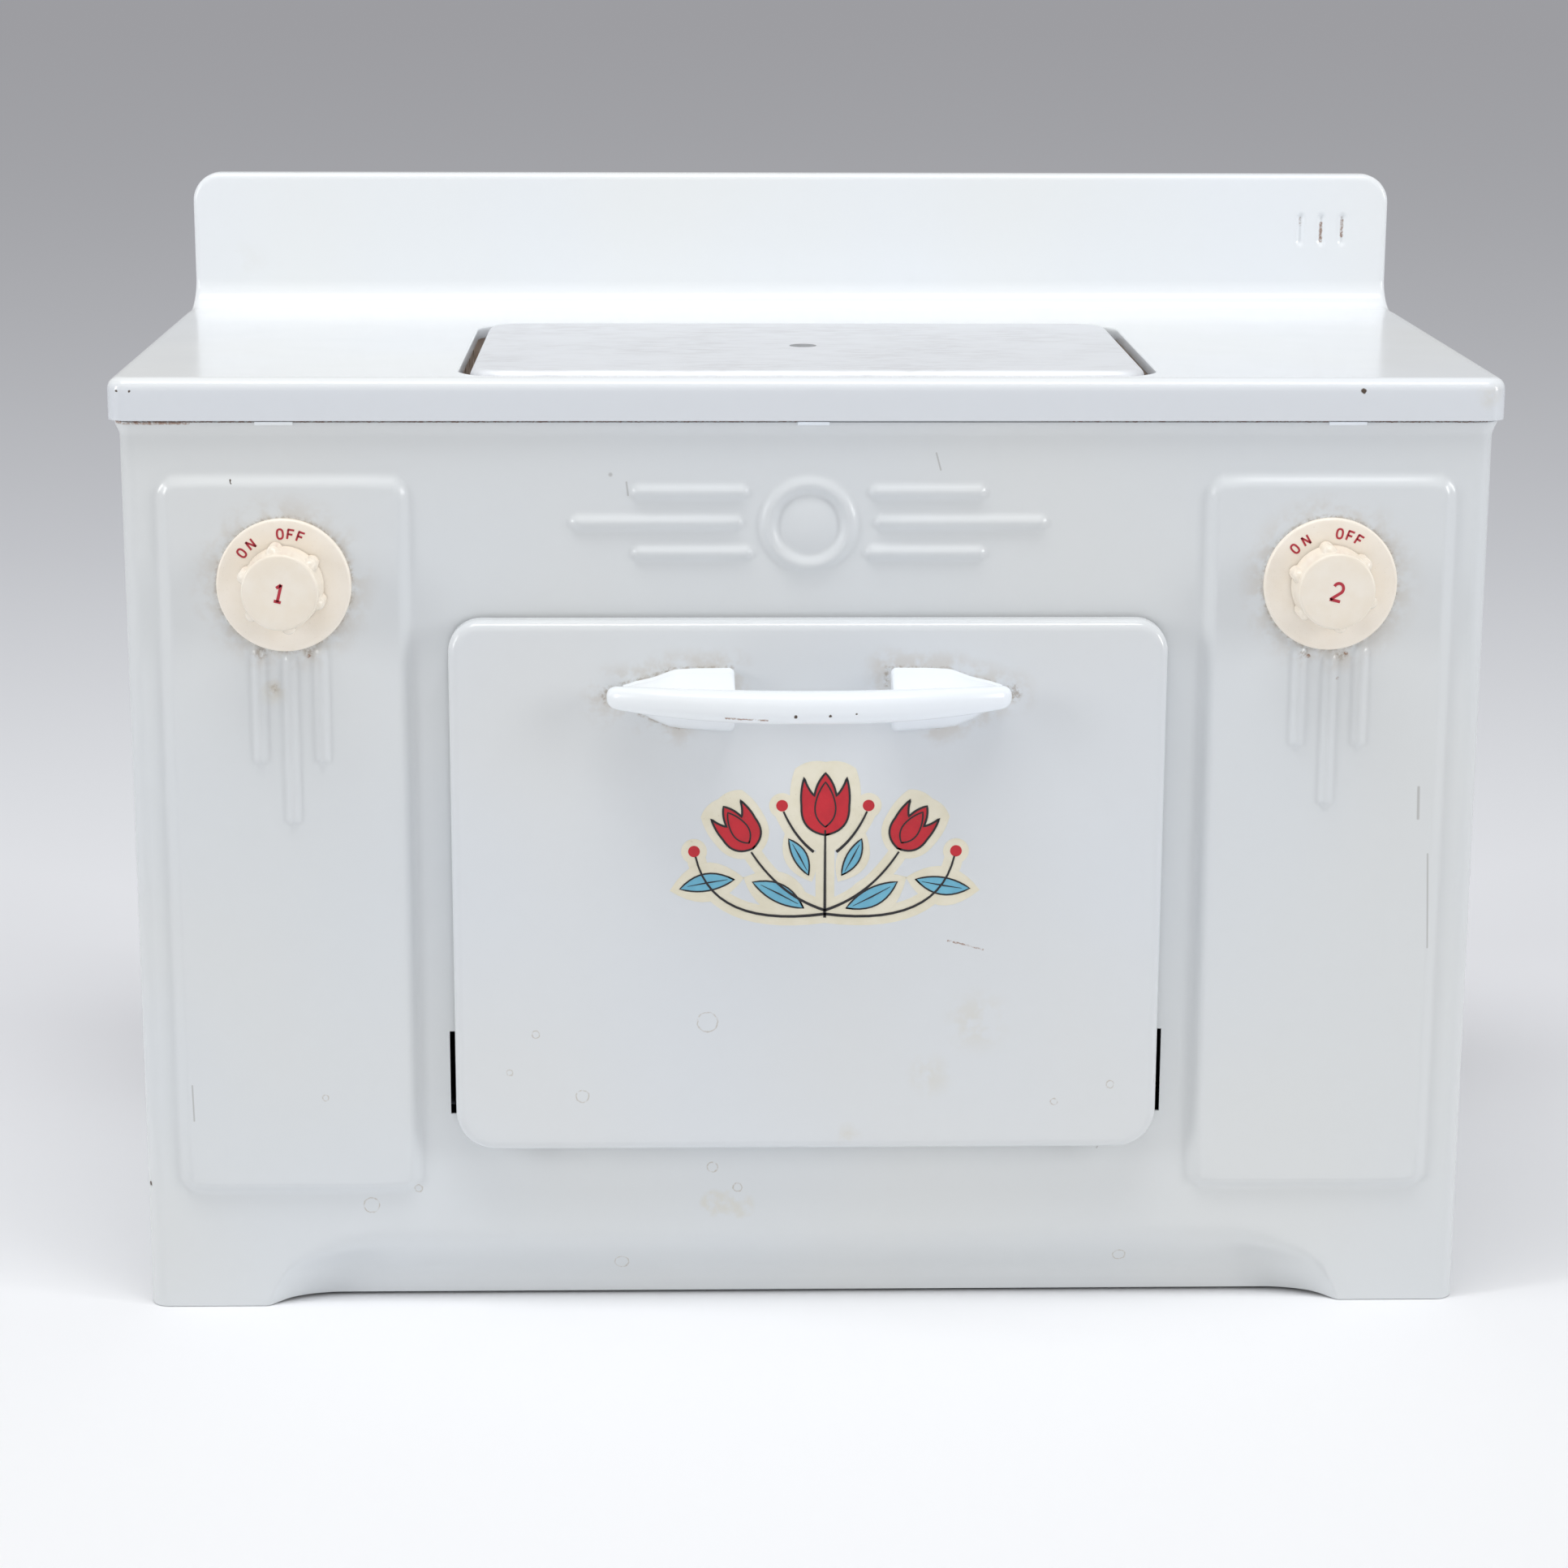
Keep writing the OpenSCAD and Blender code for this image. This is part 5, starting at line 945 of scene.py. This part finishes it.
# %% Words on the dials, numbers on the knobs
LETTER_R, KNOB_TILT = 13.6, 14
POSITIONS = {-1: (("O", 140.8), ("N", 126.8), ("O", 92.3), ("F", 80.6), ("F", 69.6)),
             1: (("O", 135.7), ("N", 120.6), ("O", 82.3), ("F", 70.1), ("F", 59.2))}
for hand, side in SIDES:
    parts = []
    for glyph, degrees in POSITIONS[hand]:
        turn = math.radians(degrees)
        centre = (LETTER_R * math.cos(turn), LETTER_R * math.sin(turn))
        parts += lettering(glyph, centre, turn, 3.0, 2.05, 0.52)
    ink, ink_faces = joined(parts)
    make_piece("dial_words_" + side, ink + (hand * PANEL_X, DIAL_BACK - DIAL_T, DIAL_Z), ink_faces, "stove",
               "dial_plastic", red_print)
    number = lettering("1" if hand < 0 else "2", (0, 0), math.radians(90 - KNOB_TILT), 5.4, 3.4, 0.78)
    ink, ink_faces = joined(number)
    make_piece("knob_number_" + side, ink + (hand * PANEL_X, KNOB_BACK - KNOB_H, DIAL_Z), ink_faces,
               "knob_" + side, "knob_plastic", red_print)

# %% [markdown]
# ## The handle
# The handle is an enamelled casting: a bar bowed away from the door, on two feet. The bar is a rounded
# section carried along the bow, and its size falls off at the tips. Each foot is a second loft that
# runs from the door's face into the bar, so that the two overlap as they do in one casting.

# %% The bar of the handle
GRIP_Z, GRIP_HALF, GRIP_FRONT, GRIP_BACK, GRIP_H, GRIP_TIP = 172.6, 52.7, -29.0, -14.4, 4.2, 2.75
BOW_POWER = 2.2


def bar_front(x):
    """Front line of the bow: furthest out in the middle, coming back as a power of x."""
    return GRIP_FRONT + (GRIP_BACK - GRIP_FRONT) * (np.abs(x) / GRIP_HALF) ** BOW_POWER


AROUND, SQUARE, BLUNT, TIP_RUN = 48, 2.5, 2.6, 3.2
reach = np.sin(np.linspace(-math.pi / 2, math.pi / 2, 97))
bar_x = GRIP_HALF * np.sign(reach) * (1 - (1 - np.abs(reach)) ** 1.15)
share = np.abs(bar_x) / GRIP_HALF
half = GRIP_H + (GRIP_TIP - GRIP_H) * share ** 3
near_tip = np.clip((np.abs(bar_x) - (GRIP_HALF - TIP_RUN)) / TIP_RUN, 0, 1)
closing = np.maximum(1 - near_tip ** BLUNT, 0) ** (1 / BLUNT)
around = np.linspace(0, 2 * math.pi, AROUND, endpoint=False)
ring_y, ring_z = np.cos(around), np.sin(around)
bulge = 1 / (np.abs(ring_y) ** SQUARE + np.abs(ring_z) ** SQUARE) ** (1 / SQUARE)
bar_path = np.stack([bar_x, bar_front(bar_x) + half, np.full(len(bar_x), GRIP_Z)], axis=1)
tilt = (GRIP_BACK - GRIP_FRONT) / GRIP_HALF * BOW_POWER * share ** (BOW_POWER - 1)
deep = half * np.sqrt(1 + 0.6 * tilt ** 2)
section = np.stack([np.zeros((len(bar_x), AROUND)), (deep * closing)[:, None] * bulge * ring_y,
                    (half * closing)[:, None] * bulge * ring_z], axis=-1)
bar = weld(*carried(bar_path, section))

# %% The feet of the handle
FOOT_IN, FOOT_OUT, FOOT_BACK, FOOT_ROUND = 20.4, 49.5, DOOR_FACE + 0.1, 1.5
FOOT_TOP = ((20, 30.5, 36, 38, 41.4, 46.1, 49.5), (179.3, 179.2, 178.9, 178.2, 176.9, 175.8, 174.7))
FOOT_LOW = ((20, 28, 34, 37.4, 42, 46, 49.5), (162.4, 162.9, 163.3, 163.8, 165.8, 168.0, 170.4))


def flank(edge_z, hand, front_y):
    """Upper (hand 1) or lower (hand -1) half of a foot's section: a rounded edge at the door, then a
    slope to the bar whose height goes with the 1.25th power of the way out."""
    start_y, start_z = FOOT_BACK - 1.7, edge_z - 0.35 * hand
    slope = [(start_y + (front_y - start_y) * t, start_z + (GRIP_Z + 2.6 * hand - start_z) * t ** 1.25)
             for t in np.linspace(0, 1, 9)[1:]]
    return [(FOOT_BACK, edge_z), (FOOT_BACK - 0.9, edge_z), (start_y, start_z)] + slope


quarter = np.linspace(0, math.pi / 2, 6)
foot_x = np.concatenate([FOOT_IN + FOOT_ROUND * (1 - np.cos(quarter)),
                         np.linspace(FOOT_IN + 1.9, FOOT_OUT, 40)])
inset = np.concatenate([FOOT_ROUND * (1 - np.sin(quarter)), np.zeros(40)])
top, low = np.interp(foot_x, *FOOT_TOP) - inset, np.interp(foot_x, *FOOT_LOW) + inset
loops = [[(0.0, y, z) for y, z in flank(high_z, 1, front_y) + flank(low_z, -1, front_y)[::-1]]
         for high_z, low_z, front_y in zip(top, low, bar_front(foot_x) + GRIP_H * 0.95)]
feet = [carried([(hand * x + 1.0, 0, 0) for x in foot_x], loops) for hand in (-1, 1)]
make_piece("bow_handle", *joined([bar] + feet), "door", "enamel_handle", handle_enamel, ("door_handle",),
           sharp=38.0)

# %% [markdown]
# ## The picture on the door
# The door carries a printed transfer. Here it is a plain folk spray of tulips: a cream ground, red and
# blue flowers and leaves, and dark outlines, each a film of ink a few hundredths of a millimetre thick.

# %% Inks
transfer_cream = plastic("printed_transfer_cream", "#EAE4D0", "#E2DBC2", 0.34, 5.0, 0.3)
transfer_red = plastic("printed_transfer_red", "#C8202F", "#B61C2B", 0.34, 4.0, 0.2)
transfer_blue = plastic("printed_transfer_blue", "#72B9D3", "#63A9C6", 0.34, 4.0, 0.2)
transfer_dark = plastic("printed_transfer_black", "#1E1E24", "#2A2624", 0.38, 3.0)


# %% Outlines of the spray
def bowed(corners, bows):
    """Closed outline through corners: each side is a straight line pushed out to the left by its bow
    times its length, as 4t(1 - t)."""
    corners = np.asarray(corners, float)
    t = np.linspace(0, 1, 10, endpoint=False)[:, None]
    sides = []
    for a, b, bow_size in zip(corners, np.roll(corners, -1, axis=0), bows):
        across = np.array([-(b - a)[1], (b - a)[0]])
        sides.append(a + (b - a) * t + across * bow_size * 4 * t * (1 - t))
    return np.concatenate(sides)


def laid(outline, x, z, degrees, size=1.0):
    """Outline turned and moved to its place on the door."""
    turn = math.radians(degrees)
    spin = np.array([[math.cos(turn), math.sin(turn)], [-math.sin(turn), math.cos(turn)]])
    return np.asarray(outline) * size @ spin + (x, z)


def film(outline, base, lift):
    """Closed film of ink: an outline carried from below the surface up to its thickness."""
    flat = np.stack([outline[:, 0], np.zeros(len(outline)), outline[:, 1]], axis=1)
    return carried([(0, -base, 0), (0, -lift, 0)], [flat, flat])


def stem(ax, az, bx, bz, cx, cz):
    """Stem from a to c, drawn towards b: (1 - t)^2 a + 2t(1 - t) b + t^2 c."""
    t = np.linspace(0, 1, 15)[:, None]
    a, b, c = (np.array(p) + (SPRAY_X, SPRAY_Z) for p in ((ax, az), (bx, bz), (cx, cz)))
    return (1 - t) ** 2 * a + 2 * t * (1 - t) * b + t ** 2 * c


TULIP = bowed([(0, -7.4), (6.3, 0.5), (5.6, 8.2), (2.9, 3.2), (0, 9.4), (-2.9, 3.2), (-5.6, 8.2),
               (-6.3, 0.5)], [-0.22, -0.05, 0.06, -0.08, -0.08, 0.06, -0.05, -0.22])
TULIP_GROUND = bowed([(0, -10.2), (9.2, 0.5), (8.0, 10.6), (0, 12.4), (-8.0, 10.6), (-9.2, 0.5)],
                     [-0.2, -0.06, -0.12, -0.12, -0.06, -0.2])
PETAL = bowed([(0, -5.2), (2.6, 1.2), (0, 7.0), (-2.6, 1.2)], [-0.16, -0.06, -0.06, -0.16])
LEAF = bowed([(-8.5, 0), (8.5, 0)], [-0.2, -0.12])
LEAF_GROUND = bowed([(-11.6, 0), (11.6, 0)], [-0.3, -0.24])
SPRAY_X, SPRAY_Z, BERRY_R = 4.5, 111.6, 1.55
BERRY = BERRY_R * np.stack([np.cos(oval[:-1]), np.sin(oval[:-1])], axis=1)

# %% The spray itself
flowers = [(0, 30.0, 0, 1.0), (-22.5, 24.0, 34, 0.82), (22.5, 24.0, -34, 0.82)]
leaves = [(hand * x, z, degrees if hand > 0 else 180 - degrees, size)
          for x, z, degrees, size in ((12.4, 6.2, 28, 0.9), (31.2, 9.2, -10, 0.86), (7.0, 16.6, 62, 0.66))
          for hand in (-1, 1)]
berries = [(hand * x, z, 0, 1.0) for x, z in ((11.4, 30.6), (34.6, 18.2)) for hand in (-1, 1)]
stems = [stem(0, 0, 0, 12, 0, 24)] + [
    stem(hand * ax, az, hand * bx, bz, hand * cx, cz)
    for ax, az, bx, bz, cx, cz in ((0, 2, 12, 6, 19.5, 18), (0, 1, 30, -3, 34.2, 16.8),
                                   (3, 18, 8, 22, 11, 29))
    for hand in (-1, 1)]
ground, red, blue, dark = [], [], [], []
for places, under, rim, shape, colour, above, lines in (
        (flowers, TULIP_GROUND, 1.0, TULIP, red, 0.0, ((TULIP, 0.55), (PETAL, 0.4))),
        (leaves, LEAF_GROUND, 1.0, LEAF, blue, 0.002, ((LEAF, 0.42),)),
        (berries, BERRY, 2.2, BERRY, red, 0.004, ())):
    for x, z, degrees, size in places:
        spot = (SPRAY_X + x, SPRAY_Z + z, degrees)
        ground.append(film(laid(under, *spot, size * rim), -0.05, 0.05 + above))
        colour.append(film(laid(shape, *spot, size), 0.02, 0.09 + above))
        for drawn, thick in lines:
            edge = laid(drawn, *spot, size)
            dark.append(stroke(np.concatenate([edge, edge[:2]]), thick, 0.13, 0.02))
        if shape is LEAF:
            vein = laid([(-6.5, -0.4), (0, -0.5), (6.0, -0.4)], *spot, size)
            dark.append(stroke(vein, [0.1, 0.4, 0.1], 0.131, 0.02))
for k, path in enumerate(stems):
    ground.append(stroke(path, 5.0, 0.056 + 0.001 * k, -0.05))
    dark.append(stroke(path, np.linspace(0.75, 0.5, len(path)), 0.11, 0.02))
for name, films, ink in (("spray_ground", ground, transfer_cream), ("spray_red", red, transfer_red),
                         ("spray_blue", blue, transfer_blue), ("spray_lines", dark, transfer_dark)):
    points, faces = joined(films)
    make_piece(name, points + (0, DOOR_FACE, 0), faces, "door", "enamel_white", ink)

# %% [markdown]
# ## What is inside
# The parts behind the sheets keep their engineered shapes. They still need finishes, because the open
# door, the gap round the griddle and the rear show them: zinc-plated and tinned steel, brass, brown
# moulding, ceramic, board, rubber and the leads' covering.

# %% Finishes of the inner parts
heat_stained = plastic("heat_stained_sheet", "#EAD8C9", "#D8BFA9", 0.5, 6.0, 0.3)
by_node = {"griddle_stud": stud_metal, "burner_tray": heat_stained}
by_slot = {
    "enamel_body": body_enamel, "enamel_white": white_enamel, "enamel_handle": handle_enamel,
    "dial_plastic": dial_plastic, "knob_plastic": knob_plastic, "griddle_metal": griddle_metal,
    "zinc_sheet": brushed("zinc_plated_sheet", "#C6C9CC", "#A3A6AA", 4.5, 0.42, 0.12, 0.7),
    "oven_sheet": brushed("tinned_oven_sheet", "#C9CBCD", "#A29D93", 6.0, 0.34, 0.10, 0.7,
                          squeeze=(1.0, 1.0, 0.35)),
    "fasteners": brushed("nickel_plated_fastener", "#CDCCC8", "#9B978F", 1.6, 0.30, 0.10),
    "brass_parts": brushed("turned_brass", "#C9A765", "#9C7A3F", 1.2, 0.32, 0.12, squeeze=(1.0, 0.3, 1.0)),
    "element_rod": brushed("oxidised_heating_rod", "#6A6460", "#3C3836", 1.5, 0.62, 0.3),
    "switch_moulding": plastic("brown_phenolic_moulding", "#3B261C", "#2C1B14", 0.38, 3.0),
    "ceramic_parts": plastic("unglazed_ceramic", "#E4DED0", "#CFC5B0", 0.85, 4.0, 0.3),
    "insulation": plastic("insulating_board", "#BDAF95", "#A5957A", 0.9, 2.0, 0.4),
    "inlet_rubber": plastic("black_rubber_grommet", "#1B1B1C", "#28272A", 0.65, 1.5),
    "red_lead": plastic("red_lead_covering", "#8C2320", "#6F1A19", 0.5, 2.0),
    "black_lead": plastic("black_lead_covering", "#191817", "#2B2926", 0.5, 2.0)}
for part in frame["record"]["subparts"]:
    mesh = frame["nodes"][part["node"]].data
    if not mesh.materials:
        mesh.materials.append(None)
    for i in range(len(mesh.materials)):
        mesh.materials[i] = by_node.get(part["node"], by_slot[part["material_slot"]])

# %% [markdown]
# ## Floor, light and camera
# The stove stands on a pale paper sweep, a little greyer further off. The light is a plain studio one: an
# even sky, one wide soft lamp overhead, and two tall narrow ones at the sides, which draw a bright line
# along every pressed edge.

# %% Floor
FLOOR_TONES = ((0.0, "#F6F7FA"), (0.25, "#F6F7F9"), (0.45, "#F4F5F8"), (0.60, "#F3F4F8"), (0.90, "#F1F3F7"),
               (1.50, "#ECEEF3"), (3.00, "#EEEFF4"), (9.00, "#EBEBF0"))
FLOOR_SIZE = 12.0
floor_mesh = bpy.data.meshes.new("studio_floor")
edge = np.array([(-1, -1), (1, -1), (1, 1), (-1, 1)]) * FLOOR_SIZE
floor_mesh.from_pydata([(x, y, -0.0002) for x, y in edge.tolist()], [], [(0, 1, 2, 3)])
floor = bpy.data.objects.new("studio_floor", floor_mesh)
bpy.context.scene.collection.objects.link(floor)
finish, tree, output, place = new_finish("pale_paper_sweep")
away = vector_node(tree, "LENGTH", vector_node(tree, "ADD", place, (0.0, 0.35, 0.0)))
far_share = math_node(tree, "POWER", math_node(tree, "DIVIDE", away, FLOOR_TONES[-1][0]), 0.5)
tones = add(tree, "ShaderNodeValToRGB", {"Fac": far_share})
for k, (far, tone) in enumerate(FLOOR_TONES):
    at = (far / FLOOR_TONES[-1][0]) ** 0.5
    stop = tones.color_ramp.elements[k] if k < 2 else tones.color_ramp.elements.new(at)
    stop.position, stop.color = at, linear(tone)
shader = add(tree, "ShaderNodeBsdfDiffuse", {"Color": tones.outputs[0]})
tree.links.new(shader.outputs[0], output.inputs["Surface"])
floor_mesh.materials.append(finish)

# %% Light
world = bpy.data.worlds.new("even_sky")
bpy.context.scene.world = world
world.use_nodes = True
world.node_tree.nodes["Background"].inputs["Color"].default_value = linear("#FBFBFC")
world.node_tree.nodes["Background"].inputs["Strength"].default_value = 0.42
for name, power, wide, deep, where in (("overhead", 12.8, 1.4, 0.4, (-0.10, -0.40, 1.60)),
                                       ("side_left", 17.0, 0.4, 1.1, (-2.40, -1.03, 0.80)),
                                       ("side_right", 19.2, 0.4, 1.1, (2.40, -1.03, 0.80))):
    lamp = bpy.data.lights.new(name, "AREA")
    lamp.shape, lamp.size, lamp.size_y, lamp.energy = "RECTANGLE", wide, deep, power
    light = bpy.data.objects.new(name, lamp)
    light.location = where
    light.rotation_euler = (Vector((0.0, 0.0, 0.18)) - Vector(where)).to_track_quat("-Z", "Y").to_euler()
    bpy.context.scene.collection.objects.link(light)

# %% Camera
view = bpy.data.cameras.new("photo_view")
view.lens, view.sensor_width, view.sensor_fit = 84.72, 36.0, "HORIZONTAL"
view.dof.use_dof = False
camera = bpy.data.objects.new("photo_view", view)
camera.location = (-0.030217, -1.019319, 0.378606)
camera.rotation_euler = [math.radians(a) for a in (76.24646, -0.19989, -1.39916)]
bpy.context.scene.collection.objects.link(camera)
bpy.context.scene.camera = camera
bpy.context.scene.view_settings.view_transform = "Standard"
